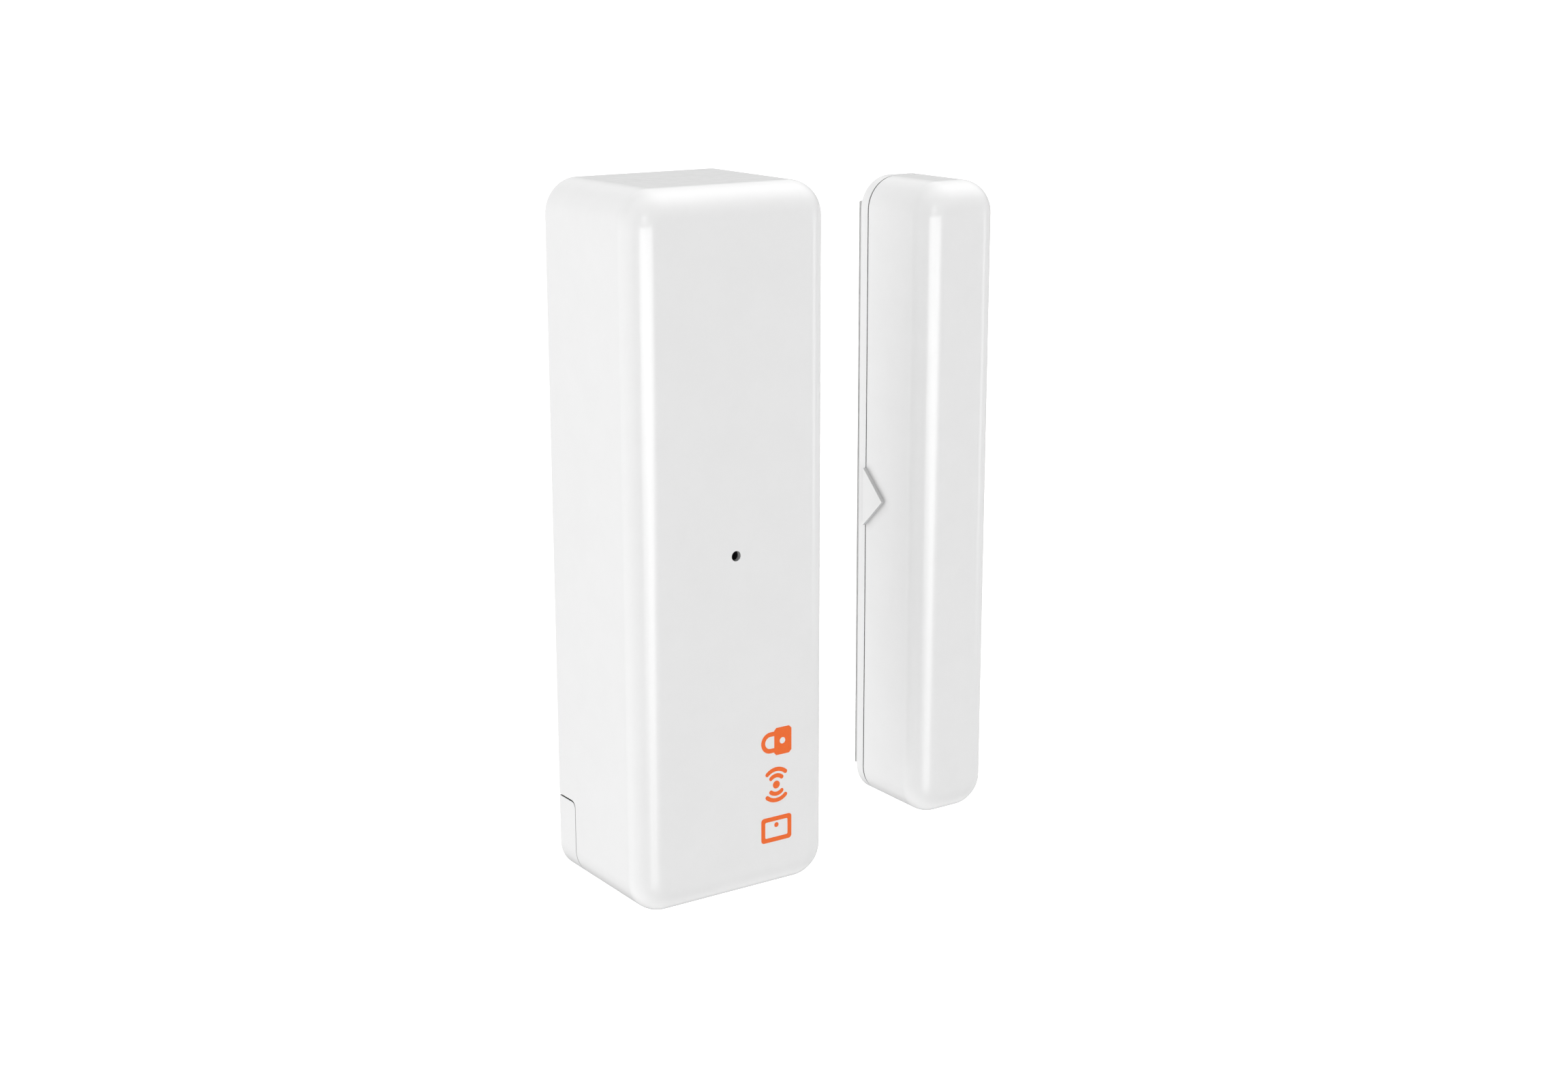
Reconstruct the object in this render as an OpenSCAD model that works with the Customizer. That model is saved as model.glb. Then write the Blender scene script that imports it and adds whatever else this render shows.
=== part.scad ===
// Door contact sensor: a battery-powered reed-switch unit on a slide-off wall
// plate, and the slim magnet unit that sits beside it on the door leaf.
// Millimetres. +Z is up, -Y faces the room, the wall is the plane Y = 0.
// The origin is the centre of the sensor's adhesive face, on the wall.
// Most modules work in a "wall view": x to the right, y up, z away from the wall.

/* [Sensor unit] */
// Width of the sensor unit
sensor_w = 22.6; // [21.8:0.1:24]
// Height of the sensor unit
sensor_h = 72; // [71:0.5:76]
// Depth of the sensor unit, without its adhesive pad
sensor_d = 16.5; // [16.4:0.1:17.5]
// Radius of the four corners seen from the front, both units
corner_r = 3.5; // [3.2:0.1:3.9]
// Radius of the rounded front edge, both units
edge_r = 2.7; // [2.2:0.1:2.9]
// Wall thickness of the sensor's front cover
wall = 1.4; // [1.2:0.1:1.5]
// Diameter of the indicator pinhole
pinhole_d = 1.04; // [0.8:0.02:1.4]
// Distance of the plate's lower block top below the unit's centre
block_top = 27.45; // [27.2:0.05:28]
// Depth of the plate's lower block
block_d = 3.23; // [3:0.01:3.4]

/* [Magnet unit] */
// Width of the magnet unit
magnet_w = 10; // [9.8:0.1:11]
// Height of the magnet unit
magnet_h = 69.4; // [68:0.2:72]
// Depth of the magnet unit, without its adhesive pad
magnet_d = 11.3; // [11:0.1:12.5]
// Distance between the centres of the two units
unit_pitch = 31.8; // [28:0.1:36]
// Height of the magnet unit's centre above the sensor's
magnet_z = -0.5; // [-2:0.1:2]
// Thickness of the magnet unit's base plate
base_t = 1.25; // [1.1:0.05:1.5]
// Wall thickness of the magnet cover
magnet_wall = 1.2; // [1:0.1:1.3]
// Length of the bar magnet
bar_len = 40; // [24:1:44]

/* [Fixing and fits] */
// Thickness of the foam adhesive pads
pad_t = 0.95; // [0.7:0.05:1.2]
// Side clearance between a cover and the plate it fits
fit_gap = 0.15; // [0.1:0.01:0.2]
// Gap over the plate's lower block
block_gap = 0.18; // [0.12:0.01:0.3]
// Gap between the magnet cover and its base plate
seam_gap = 0.16; // [0.1:0.01:0.25]

/* [Electronics] */
// Thickness of the circuit board
board_t = 1; // [0.8:0.1:1.2]
// Diameter of the 12 V cell
cell_d = 10.3; // [10:0.1:10.3]
// Length of the 12 V cell over its terminals
cell_len = 28.5; // [27.5:0.1:28.5]
// Diameter of the reed switch's glass
glass_d = 2; // [1.8:0.1:2.2]
// Length of the reed switch's glass
glass_len = 14; // [12:0.5:14]
// Turns of the antenna coil
coil_turns = 8; // [6:1:9]

/* [Hidden] */
$fn = 64;
e = 0.5;                                  // overrun of a cut past a face
zb = pad_t;                               // back of both units
zf = pad_t + sensor_d;                    // front face of the sensor
in_w = sensor_w - 2 * wall;               // inside of the sensor cover
in_h = sensor_h - 2 * wall;
zin = zf - wall;                          // inner face of the front wall
plate_t = 2;                              // wall plate
plate_hw = in_w / 2 - fit_gap;
tongue = 0.6;                             // reach of the plate's side tongues
zblk = zb + block_d;                      // front of the lower block
board_z = zin - 1.1 - board_t;            // component face of the board
board_w = 18.6;
board_h = 64;
screw_at = [[-6.8, 29.2], [6.8, -29.2]];
cell_x = -3.6;
cell_z = board_z - 0.25 - cell_d / 2;
cell_y = -21.5;                           // flat end of the cell
nip_t = 0.8;                              // length of the cell's raised terminal
spring_y = cell_y - 4.5;                  // foot of the coil spring
reed_x = 7;
reed_z = board_z - 1.55;
blade_root = 4.9;                         // hinge line of the reed's moving blade
bore_r = 0.3;
lead_r = 0.27;
mzf = pad_t + magnet_d;                   // front face of the magnet unit
base_z = zb + base_t;                     // front of the magnet's base plate
bar_w = 5;
bar_d = 6;

// Turns the wall view (x right, y up, z off the wall) into the part's frame.
module wall_view() rotate([90, 0, 0]) children();

module box(x0, y0, z0, x1, y1, z1)
    translate([x0, y0, z0]) cube([x1 - x0, y1 - y0, z1 - z0]);

// Half of a cross-section: flat inside, the front outer corner rounded by f.
module edge_profile(r, d, f) {
    square([r - f, d]);
    translate([r - f, 0]) square([f, d - f]);
    translate([r - f, d - f]) intersection() { circle(r = f); square([f, f]); }
}

module edge_strip(len, r, d, f)
    rotate([90, 0, 0]) linear_extrude(len, center = true) edge_profile(r, d, f);

// A box with corner radius r whose front edge is rounded by f, z from 0 to d.
module soft_block(w, h, d, r, f) {
    translate([r - w / 2, r - h / 2, 0]) cube([w - 2 * r, h - 2 * r, d]);
    for (s = [0, 1]) rotate([0, 0, 180 * s]) {
        translate([w / 2 - r, 0, 0]) edge_strip(h - 2 * r, r, d, f);
        rotate([0, 0, 90]) translate([h / 2 - r, 0, 0]) edge_strip(w - 2 * r, r, d, f);
        translate([w / 2 - r, h / 2 - r, 0]) rotate_extrude(angle = 90) edge_profile(r, d, f);
        translate([r - w / 2, h / 2 - r, 0]) rotate([0, 0, 90])
            rotate_extrude(angle = 90) edge_profile(r, d, f);
    }
}

// The same outline with a square front edge.
module slab(w, h, d, r) {
    translate([r - w / 2, r - h / 2, 0]) cube([w - 2 * r, h - 2 * r, d]);
    for (s = [0, 1]) rotate([0, 0, 180 * s]) {
        translate([w / 2 - r, r - h / 2, 0]) cube([r, h - 2 * r, d]);
        translate([r - w / 2, h / 2 - r, 0]) cube([w - 2 * r, r, d]);
        translate([w / 2 - r, h / 2 - r, 0]) rotate_extrude(angle = 90) square([r, d]);
        translate([r - w / 2, h / 2 - r, 0]) rotate([0, 0, 90])
            rotate_extrude(angle = 90) square([r, d]);
    }
}

// The lower rear block's side view, drawn as (z, y) and swept across x.
module block_shape(top, front, r, half) {
    rotate([0, -90, 0]) linear_extrude(2 * half, center = true) {
        translate([0, -sensor_h]) square([front, sensor_h + top - r]);
        translate([0, top - r]) square([front - r, r]);
        translate([front - r, top - r]) intersection() { circle(r = r); square([r, r]); }
    }
}

// A round wire along a list of points; ring frames are taken from the y axis.
function unit(v) = v / norm(v);
function tangent(p, i) = unit(p[min(i + 1, len(p) - 1)] - p[max(i - 1, 0)]);
module wire(p, r, sides) {
    n = len(p);
    pts = [for (i = [0:n - 1]) let (t = tangent(p, i), a = unit(cross(t, [0, 1, 0])), b = cross(t, a))
        for (k = [0:sides - 1]) p[i] + r * (a * cos(360 * k / sides) + b * sin(360 * k / sides))];
    faces = concat(
        [[for (k = [0:sides - 1]) sides - 1 - k]],
        [for (i = [0:n - 2]) for (k = [0:sides - 1]) let (k2 = (k + 1) % sides)
            [i * sides + k, i * sides + k2, (i + 1) * sides + k2]],
        [for (i = [0:n - 2]) for (k = [0:sides - 1]) let (k2 = (k + 1) % sides)
            [i * sides + k, (i + 1) * sides + k2, (i + 1) * sides + k]],
        [[for (k = [0:sides - 1]) (n - 1) * sides + k]]);
    polyhedron(points = pts, faces = [for (f = faces) [for (j = [len(f) - 1:-1:0]) f[j]]], convexity = 6);
}

// ---- wall plate and its pad -------------------------------------------------

module wall_plate() color("whitesmoke") wall_view() {
    top = in_h / 2 - fit_gap;
    r = corner_r - wall - fit_gap;
    union() {
        intersection() {
            translate([0, 0, zb]) slab(sensor_w, sensor_h, block_d, corner_r);
            translate([0, 0, zb]) block_shape(-block_top, block_d, 0.6, sensor_w);
        }
        box(-plate_hw, -block_top, zb, plate_hw, top - r, zb + plate_t);
        box(r - plate_hw, top - r, zb, plate_hw - r, top, zb + plate_t);
        for (s = [0, 1]) mirror([s, 0, 0])
            translate([plate_hw - r, top - r, zb]) rotate_extrude(angle = 90) square([r, plate_t]);
        for (s = [0, 1]) mirror([s, 0, 0])
            box(plate_hw, -block_top, zb + 0.9, plate_hw + tongue, 31.5, zb + 1.7);
        // detent bumps that keep the body from creeping up
        for (s = [0, 1]) mirror([s, 0, 0])
            box(plate_hw + tongue, -15.6, zb + 1.0, plate_hw + tongue + 0.1, -14.4, zb + 1.6);
    }
}

module sensor_adhesive_pad() color("gainsboro") wall_view()
    box(-9, -30, 0, 9, 30, zb);

// ---- sensor cover -----------------------------------------------------------

module front_cover() color("white") wall_view() difference() {
    union() {
        difference() {
            translate([0, 0, zb]) soft_block(sensor_w, sensor_h, sensor_d, corner_r, edge_r);
            translate([0, 0, zb - e])
                soft_block(in_w, in_h, zin - zb + e, corner_r - wall, edge_r - wall);
        }
        for (p = screw_at) translate([p[0], p[1], board_z + board_t])
            cylinder(d = 4.4, h = zin - board_z - board_t + 0.2);
        translate([0, 0, zin - 0.5]) cylinder(d = 3, h = 0.7);
    }
    // grooves for the plate's tongues
    for (s = [0, 1]) mirror([s, 0, 0])
        box(in_w / 2 - e, -sensor_h, zb + 0.75, in_w / 2 + tongue, 32.5, zb + 1.85);
    // room for the plate's lower block
    translate([0, 0, zb - e]) block_shape(block_gap - block_top, block_d + 0.08 + e, 0.7, sensor_w);
    // screw pilots and the pinhole
    for (p = screw_at) translate([p[0], p[1], board_z]) cylinder(r = 1.02, h = zf - 0.7 - board_z);
    translate([0, 0, zin - 1]) cylinder(d = pinhole_d, h = wall + 2);
}

// ---- circuit board and what stands on it ------------------------------------

module circuit_board() color("seagreen") wall_view() difference() {
    box(-board_w / 2, -board_h / 2, board_z, board_w / 2, board_h / 2, board_z + board_t);
    for (p = screw_at) translate([p[0], p[1], board_z - e]) cylinder(r = 1.1, h = board_t + 2 * e);
    for (y = [-1, 1]) translate([reed_x, y * (glass_len / 2 + 2.4), board_z - e])
        cylinder(r = 0.4, h = board_t + 2 * e);
    for (y = [spring_y - 0.2, cell_y + cell_len + 0.2])
        box(cell_x - 1, y - 0.35, board_z - e, cell_x + 1, y + 0.35, board_z + board_t + e);
    for (y = [16.6, 31.0]) translate([5.8, y, board_z - e]) cylinder(r = 0.5, h = board_t + 2 * e);
}

// Two pan-head screws, in place.
module board_screws() color("silver") wall_view() for (p = screw_at) translate([p[0], p[1], 0])
    difference() {
        union() {
            translate([0, 0, board_z - 1.2]) cylinder(r = 1.8, h = 1.2);
            translate([0, 0, board_z]) cylinder(r = 1, h = 2.6);
        }
        translate([-1.2, -0.22, board_z - 1.2 - e]) cube([2.4, 0.44, 0.6 + e]);
        translate([-0.22, -1.2, board_z - 1.2 - e]) cube([0.44, 2.4, 0.6 + e]);
    }

module status_led() color("lightyellow") wall_view()
    translate([0, 0, board_z + board_t]) union() {
        box(-0.8, -0.4, 0, 0.8, 0.4, 0.22);
        box(-0.5, -0.4, 0.22, 0.5, 0.4, 0.46);
    }

// Two rails that keep the cell from rolling sideways.
module battery_rails() color("dimgray") wall_view() {
    box(-9.2, -19, 11.3, -8, 4, board_z);
    box(0.8, -19, 11.3, 2, 4, board_z);
}

module contact_plate(y) translate([cell_x, y, 0]) {
    box(-3.6, -0.2, cell_z - 3.6, 3.6, 0.2, board_z);
    box(-0.8, -0.2, board_z, 0.8, 0.2, board_z + board_t + 0.5);
}
module positive_contact() color("silver") wall_view() contact_plate(cell_y + cell_len + 0.2);
module negative_contact() color("silver") wall_view() contact_plate(spring_y - 0.2);

// A tapering coil spring between the lower contact and the cell.
module battery_spring() color("silver") wall_view() {
    turns = 4; n = 14 * turns; wr = 0.25;
    wire([for (i = [0:n]) let (t = i / n, a = 360 * turns * t, r = 3.2 - 1.0 * t)
        [cell_x + r * cos(a), spring_y + wr + (4.5 - 2 * wr - 0.03) * t + 0.015, cell_z + r * sin(a)]], wr, 6);
}

module battery_can() color("silver") wall_view()
    translate([cell_x, cell_y, cell_z]) rotate([-90, 0, 0]) union() {
        cylinder(d = cell_d - 0.3, h = cell_len - nip_t);
        translate([0, 0, cell_len - nip_t]) cylinder(d = 5, h = nip_t);
    }

module battery_sleeve() color("darkslateblue") wall_view()
    translate([cell_x, cell_y + 0.4, cell_z]) rotate([-90, 0, 0]) difference() {
        cylinder(d = cell_d, h = cell_len - nip_t - 0.8);
        translate([0, 0, -e]) cylinder(d = cell_d - 0.28, h = cell_len);
    }

// ---- reed switch ------------------------------------------------------------

// Glass capsule, closed onto the leads at both ends.
module reed_glass() color("lightcyan", 0.5) wall_view()
    translate([reed_x, 0, reed_z]) rotate([-90, 0, 0]) rotate_extrude() {
        r = glass_d / 2; h = glass_len / 2; c = h - 1.9; s = 0.5;
        translate([r - 0.28, -c]) square([0.28, 2 * c]);
        for (m = [0, 1]) mirror([0, m]) {
            translate([bore_r, c]) square([r - bore_r, h - s - c]);
            translate([bore_r, h - s]) square([r - s - bore_r, s]);
            translate([r - s, h - s]) intersection() { circle(r = s); square([s, s]); }
        }
    }

// A lead from the board, round a bend and into the glass; end is its inner end.
module reed_lead(end) {
    h = glass_len / 2; bend = 0.7; foot = h + 2.4;
    translate([reed_x, 0, reed_z]) {
        translate([0, end, 0]) rotate([-90, 0, 0]) cylinder(r = lead_r, h = foot - bend - end);
        translate([0, foot - bend, bend]) rotate([0, 90, 0])
            rotate_extrude(angle = 90) translate([bend, 0]) circle(r = lead_r);
        translate([0, foot, bend]) cylinder(r = lead_r, h = board_z + board_t + 0.5 - reed_z - bend);
    }
}

module reed_lead_lower() color("goldenrod") wall_view() union() {
    mirror([0, 1, 0]) reed_lead(glass_len / 2 - 2.1);
    box(reed_x - 0.35, 2.1 - glass_len / 2, reed_z + 0.03, reed_x + 0.35, 0.6, reed_z + 0.15);
}
module reed_lead_upper() color("goldenrod") wall_view() reed_lead(blade_root + 0.04);
module reed_blade() color("goldenrod") wall_view()
    box(reed_x - 0.35, -0.6, reed_z - 0.13, reed_x + 0.35, blade_root, reed_z - 0.01);

// ---- parts soldered to the board --------------------------------------------

module radio_chip() color("#202022") wall_view()
    translate([-4.5, 16.5, board_z - 1.5]) box(-1.95, -2.45, 0, 1.95, 2.45, 1.4);

module radio_chip_legs() color("silver") wall_view()
    for (s = [-1, 1], i = [-1.5:1:1.5]) translate([-4.5 + s * 1.95, 16.5 + i * 1.27, board_z]) mirror([s < 0 ? 1 : 0, 0, 0])
        union() {
            box(0, -0.2, -0.9, 0.5, 0.2, -0.7);
            box(0.3, -0.2, -0.7, 0.5, 0.2, -0.2);
            box(0.3, -0.2, -0.2, 1.0, 0.2, 0);
        }

module crystal_can() color("silver") wall_view()
    translate([-3.4, 24.5, board_z - 3.6]) union() {
        box(-3.2, -2.2, 0, 3.2, 2.2, 3.6);
        for (s = [0, 1]) mirror([s, 0, 0]) translate([3.2, 0, 0]) rotate([0, 0, -90])
            rotate_extrude(angle = 180) square([2.2, 3.6]);
    }

module saw_filter() color("lightgray") wall_view()
    translate([0.9, 16.5, board_z - 1.2]) union() {
        box(-1.9, -1.9, 0.3, 1.9, 1.9, 1.2);
        box(-1.7, -1.7, 0, 1.7, 1.7, 0.3);
    }

module voltage_regulator() color("#202022") wall_view()
    translate([4.2, -10.5, board_z - 1.1]) union() {
        box(-0.65, -1.45, 0, 0.65, 1.45, 1.0);
        for (y = [-0.95, 0.95]) box(-1.2, y - 0.2, 0.85, -0.65, y + 0.2, 1.1);
        box(0.65, -0.2, 0.85, 1.2, 0.2, 1.1);
    }

res_at = [[3.6, 11], [3.6, 8.4], [3.6, 1.2], [3.6, -4.6], [-7, 11.6], [-4.5, 11.6], [-8, 29.6], [1.4, -29.6]];
module smd_resistors() color("#303034") wall_view() for (p = res_at)
    translate([p[0] == -8 ? -1.5 : p[0], p[1], board_z - 0.45]) box(-0.8, -0.4, 0, 0.8, 0.4, 0.45);

cap_at = [[3.6, 5.8], [3.6, -1.6], [-1.8, 11.6], [-5.6, -29.8], [-2.4, -29.8], [1.6, 21]];
module smd_capacitors() color("tan") wall_view() for (p = cap_at)
    translate([p[0], p[1], board_z - 0.7]) box(-0.8, -0.4, 0, 0.8, 0.4, 0.7);

module storage_capacitor() color("silver") wall_view()
    translate([6, -17.5, board_z - 5.4]) union() {
        cylinder(r = 2, h = 4.5);
        translate([-2.15, -2.15, 4.5]) cube([4.3, 4.3, 0.9]);
    }

// Antenna: a coil lying along the board with both ends bent into it.
module antenna_coil() color("darkgoldenrod") wall_view() {
    n = 12 * coil_turns; r = 1.95; cx = 5.8; cz = board_z - 2.85; y0 = 17.4; y1 = 30.2;
    wire(concat(
        [[cx, 16.6, board_z + board_t + 0.4], [cx, 16.6, board_z], [cx, 16.75, cz + r + 0.25]],
        [for (i = [0:n]) let (t = i / n, a = 90 + 360 * coil_turns * t)
            [cx + r * cos(a), y0 + (y1 - y0) * t, cz + r * sin(a)]],
        [[cx, 30.85, cz + r + 0.25], [cx, 31.0, board_z], [cx, 31.0, board_z + board_t + 0.4]]), 0.3, 6);
}

// ---- magnet unit ------------------------------------------------------------

module at_magnet() translate([unit_pitch, magnet_z, 0]) children();

module magnet_base() color("whitesmoke") wall_view() at_magnet() {
    w = magnet_w - 2 * magnet_wall - 2 * fit_gap;
    h = magnet_h - 2 * magnet_wall - 2 * fit_gap;
    r = corner_r - magnet_wall - fit_gap;
    t = 0.9;
    union() {
        translate([0, 0, zb]) slab(magnet_w, magnet_h, base_t, corner_r);
        translate([0, 0, base_z]) difference() {
            slab(w, h, 1.6, r);
            translate([0, 0, -e]) slab(w - 2 * t, h - 2 * t, 3, r - t);
        }
        // snap ridges under the cover's walls
        for (s = [0, 1], y = [-27, 27]) mirror([s, 0, 0])
            box(w / 2, y - 2.5, base_z + 0.9, w / 2 + 0.1, y + 2.5, base_z + 1.2);
        // cradle of the bar magnet
        for (s = [0, 1]) mirror([s, 0, 0])
            box(bar_w / 2 + 0.1, -bar_len / 2 - 2, base_z, w / 2, bar_len / 2 + 2, base_z + 4);
        for (s = [0, 1]) mirror([0, s, 0])
            box(-bar_w / 2 - 0.2, bar_len / 2 + 0.1, base_z, bar_w / 2 + 0.2, bar_len / 2 + 1.3, base_z + 3);
    }
}

module magnet_adhesive_pad() color("gainsboro") wall_view()
    box(unit_pitch - 4.5, magnet_z + 0.3 - 31.7, 0, unit_pitch + 4.5, magnet_z + 0.3 + 31.7, zb);

module bar_magnet() color("#3a3a3e") wall_view() at_magnet()
    box(-bar_w / 2, -bar_len / 2, base_z + 0.05, bar_w / 2, bar_len / 2, base_z + 0.05 + bar_d);

module magnet_cover() color("white") wall_view() at_magnet() {
    z0 = base_z + seam_gap;
    zi = mzf - magnet_wall;
    iw = magnet_w - 2 * magnet_wall;
    union() {
        difference() {
            translate([0, 0, z0]) soft_block(magnet_w, magnet_h, mzf - z0, corner_r, edge_r);
            translate([0, 0, z0 - e]) soft_block(iw, magnet_h - 2 * magnet_wall, zi - z0 + e,
                corner_r - magnet_wall, edge_r - magnet_wall);
        }
        // ribs that hold the bar magnet down
        for (y = [-12, 12]) box(-1.8, y - 0.5, base_z + bar_d + 0.2, 1.8, y + 0.5, zi + 0.2);
        // alignment arrow on the side that faces the sensor
        translate([-magnet_w / 2, 0.1, 0]) rotate([0, -90, 0]) linear_extrude(0.45)
            polygon([[z0, 3.2], [z0, -3.2], [5.75, 0]]);
    }
}

wall_plate();
sensor_adhesive_pad();
front_cover();
circuit_board();
board_screws();
status_led();
battery_rails();
positive_contact();
negative_contact();
battery_spring();
battery_can();
battery_sleeve();
reed_glass();
reed_lead_lower();
reed_lead_upper();
reed_blade();
radio_chip();
radio_chip_legs();
crystal_can();
saw_filter();
voltage_regulator();
smd_resistors();
smd_capacitors();
storage_capacitor();
antenna_coil();
magnet_base();
magnet_adhesive_pad();
bar_magnet();
magnet_cover();
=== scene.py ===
import bpy, bmesh, math, random
from mathutils import Vector, Matrix


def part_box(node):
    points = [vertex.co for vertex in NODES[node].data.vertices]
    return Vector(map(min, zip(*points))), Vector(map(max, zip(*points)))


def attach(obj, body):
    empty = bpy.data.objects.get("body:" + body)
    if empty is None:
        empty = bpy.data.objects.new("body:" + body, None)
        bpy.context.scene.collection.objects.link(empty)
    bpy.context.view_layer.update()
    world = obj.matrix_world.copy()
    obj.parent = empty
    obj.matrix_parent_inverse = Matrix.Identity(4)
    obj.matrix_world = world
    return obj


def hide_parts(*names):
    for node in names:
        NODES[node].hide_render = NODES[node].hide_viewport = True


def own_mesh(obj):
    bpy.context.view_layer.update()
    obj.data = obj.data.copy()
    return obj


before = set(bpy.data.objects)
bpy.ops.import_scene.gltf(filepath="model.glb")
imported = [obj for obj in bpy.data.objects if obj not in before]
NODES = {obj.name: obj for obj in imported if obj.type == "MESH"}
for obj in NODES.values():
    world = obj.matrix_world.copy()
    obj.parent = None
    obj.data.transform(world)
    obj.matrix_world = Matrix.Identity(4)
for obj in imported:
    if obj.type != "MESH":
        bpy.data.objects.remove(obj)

scene = bpy.context.scene


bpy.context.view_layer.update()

# ---------------------------------------------------------------- basics
# Shapes are drawn in millimetres in a wall view: x right, y up, z away from
# the wall. W() turns a point of that view into the frame, in metres.


def W(p):
    return (p[0] * 1e-3, -p[2] * 1e-3, p[1] * 1e-3)


def wall_box(node):
    """A CAD node's box in the wall view, in millimetres."""
    lo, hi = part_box(node)
    return (lo.x * 1e3, lo.z * 1e3, -hi.y * 1e3), (hi.x * 1e3, hi.z * 1e3, -lo.y * 1e3)


COVER = wall_box("front_cover")
PLATE = wall_box("wall_plate")
MCOVER = wall_box("magnet_cover")
MBASE = wall_box("magnet_base")
PAD_S = wall_box("sensor_adhesive_pad")
PAD_M = wall_box("magnet_adhesive_pad")
BOARD = wall_box("circuit_board")


class Shape:
    """Vertices, faces and a material index per face, in wall-view millimetres."""

    def __init__(self):
        self.v, self.f, self.m = [], [], []

    def add(self, verts, faces, mat=0):
        n = len(self.v)
        self.v += [tuple(p) for p in verts]
        self.f += [tuple(i + n for i in f) for f in faces]
        self.m += [mat] * len(faces)
        return self

    def join(self, other, mat=None):
        n = len(self.v)
        self.v += other.v
        self.f += [tuple(i + n for i in f) for f in other.f]
        self.m += other.m if mat is None else [mat] * len(other.f)
        return self

    def rings(self, rings, close=True, cap0=False, cap1=False, mat=0):
        """Quads between rings of equal length."""
        n = len(rings[0])
        base = len(self.v)
        for r in rings:
            self.v += [tuple(p) for p in r]
        k = n if close else n - 1
        faces = []
        for i in range(len(rings) - 1):
            for j in range(k):
                j2 = (j + 1) % n
                faces.append((base + i * n + j, base + i * n + j2, base + (i + 1) * n + j2, base + (i + 1) * n + j))
        if cap0:
            faces.append(tuple(base + j for j in reversed(range(n))))
        if cap1:
            faces.append(tuple(base + (len(rings) - 1) * n + j for j in range(n)))
        self.f += faces
        self.m += [mat] * len(faces)
        return self

    def flat(self, loops, up=True, mat=0):
        """A flat face bounded by the first loop, with the others as holes; all at one height."""
        bm = bmesh.new()
        edges = []
        for lp in loops:
            vs = [bm.verts.new(p) for p in lp]
            edges += [bm.edges.new((vs[i], vs[(i + 1) % len(vs)])) for i in range(len(vs))]
        bmesh.ops.triangle_fill(bm, use_beauty=True, use_dissolve=False, edges=edges)
        bm.verts.index_update()
        bm.faces.ensure_lookup_table()
        want = 1 if up else -1
        faces = []
        for f in bm.faces:
            ids = [v.index for v in f.verts]
            a, b, c = (f.verts[i].co for i in range(3))
            nz = (b - a).cross(c - a).z
            if nz * want < 0:
                ids.reverse()
            faces.append(ids)
        self.add([tuple(v.co) for v in bm.verts], faces, mat)
        bm.free()
        return self


def outline(w, h, r, z, cx=0.0, cy=0.0, seg=14, sub=1):
    """Rounded rectangle, anticlockwise, starting at the right side's lower end."""
    pts = []
    r = max(r, 1e-4)
    for k, (sx, sy) in enumerate(((1, 1), (-1, 1), (-1, -1), (1, -1))):
        ox, oy = cx + sx * (w / 2 - r), cy + sy * (h / 2 - r)
        a0 = math.radians(90 * k)
        for i in range(seg + 1):
            a = a0 + math.radians(90) * i / seg
            pts.append((ox + r * math.cos(a), oy + r * math.sin(a), z))
    return pts


def circle(cx, cy, z, r, n=32, phase=0.0):
    return [(cx + r * math.cos(phase + 2 * math.pi * i / n), cy + r * math.sin(phase + 2 * math.pi * i / n), z) for i in range(n)]


def box_shape(x0, y0, z0, x1, y1, z1, b=0.08, seg=2, mat=0):
    """A box with rounded edges."""
    bm = bmesh.new()
    bmesh.ops.create_cube(bm, size=1.0)
    for v in bm.verts:
        v.co = Vector((x0 + (v.co.x + 0.5) * (x1 - x0), y0 + (v.co.y + 0.5) * (y1 - y0), z0 + (v.co.z + 0.5) * (z1 - z0)))
    if b > 0:
        bmesh.ops.bevel(bm, geom=list(bm.edges), offset=b, segments=seg, profile=0.5, affect="EDGES", clamp_overlap=True)
    bm.verts.index_update()
    s = Shape()
    s.add([tuple(v.co) for v in bm.verts], [[v.index for v in f.verts] for f in bm.faces], mat)
    bm.free()
    return s


def lathe(profile, centre, axis, n=32, mat=0, closed_ends=True):
    """Turns (radius, height) points about an axis through centre; radius 0 closes an end."""
    ax = Vector(axis).normalized()
    a = ax.orthogonal().normalized()
    b = ax.cross(a)
    c = Vector(centre)
    s = Shape()
    idx = []
    for r, h in profile:
        if r < 1e-6:
            s.v.append(tuple(c + ax * h))
            idx.append([len(s.v) - 1])
        else:
            row = []
            for i in range(n):
                t = 2 * math.pi * i / n
                s.v.append(tuple(c + ax * h + (a * math.cos(t) + b * math.sin(t)) * r))
                row.append(len(s.v) - 1)
            idx.append(row)
    for p, q in zip(idx, idx[1:]):
        for i in range(n):
            j = (i + 1) % n
            if len(p) == 1 and len(q) == 1:
                continue
            if len(p) == 1:
                s.f.append((p[0], q[j], q[i]))
            elif len(q) == 1:
                s.f.append((p[i], p[j], q[0]))
            else:
                s.f.append((p[i], p[j], q[j], q[i]))
            s.m.append(mat)
    return s


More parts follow.
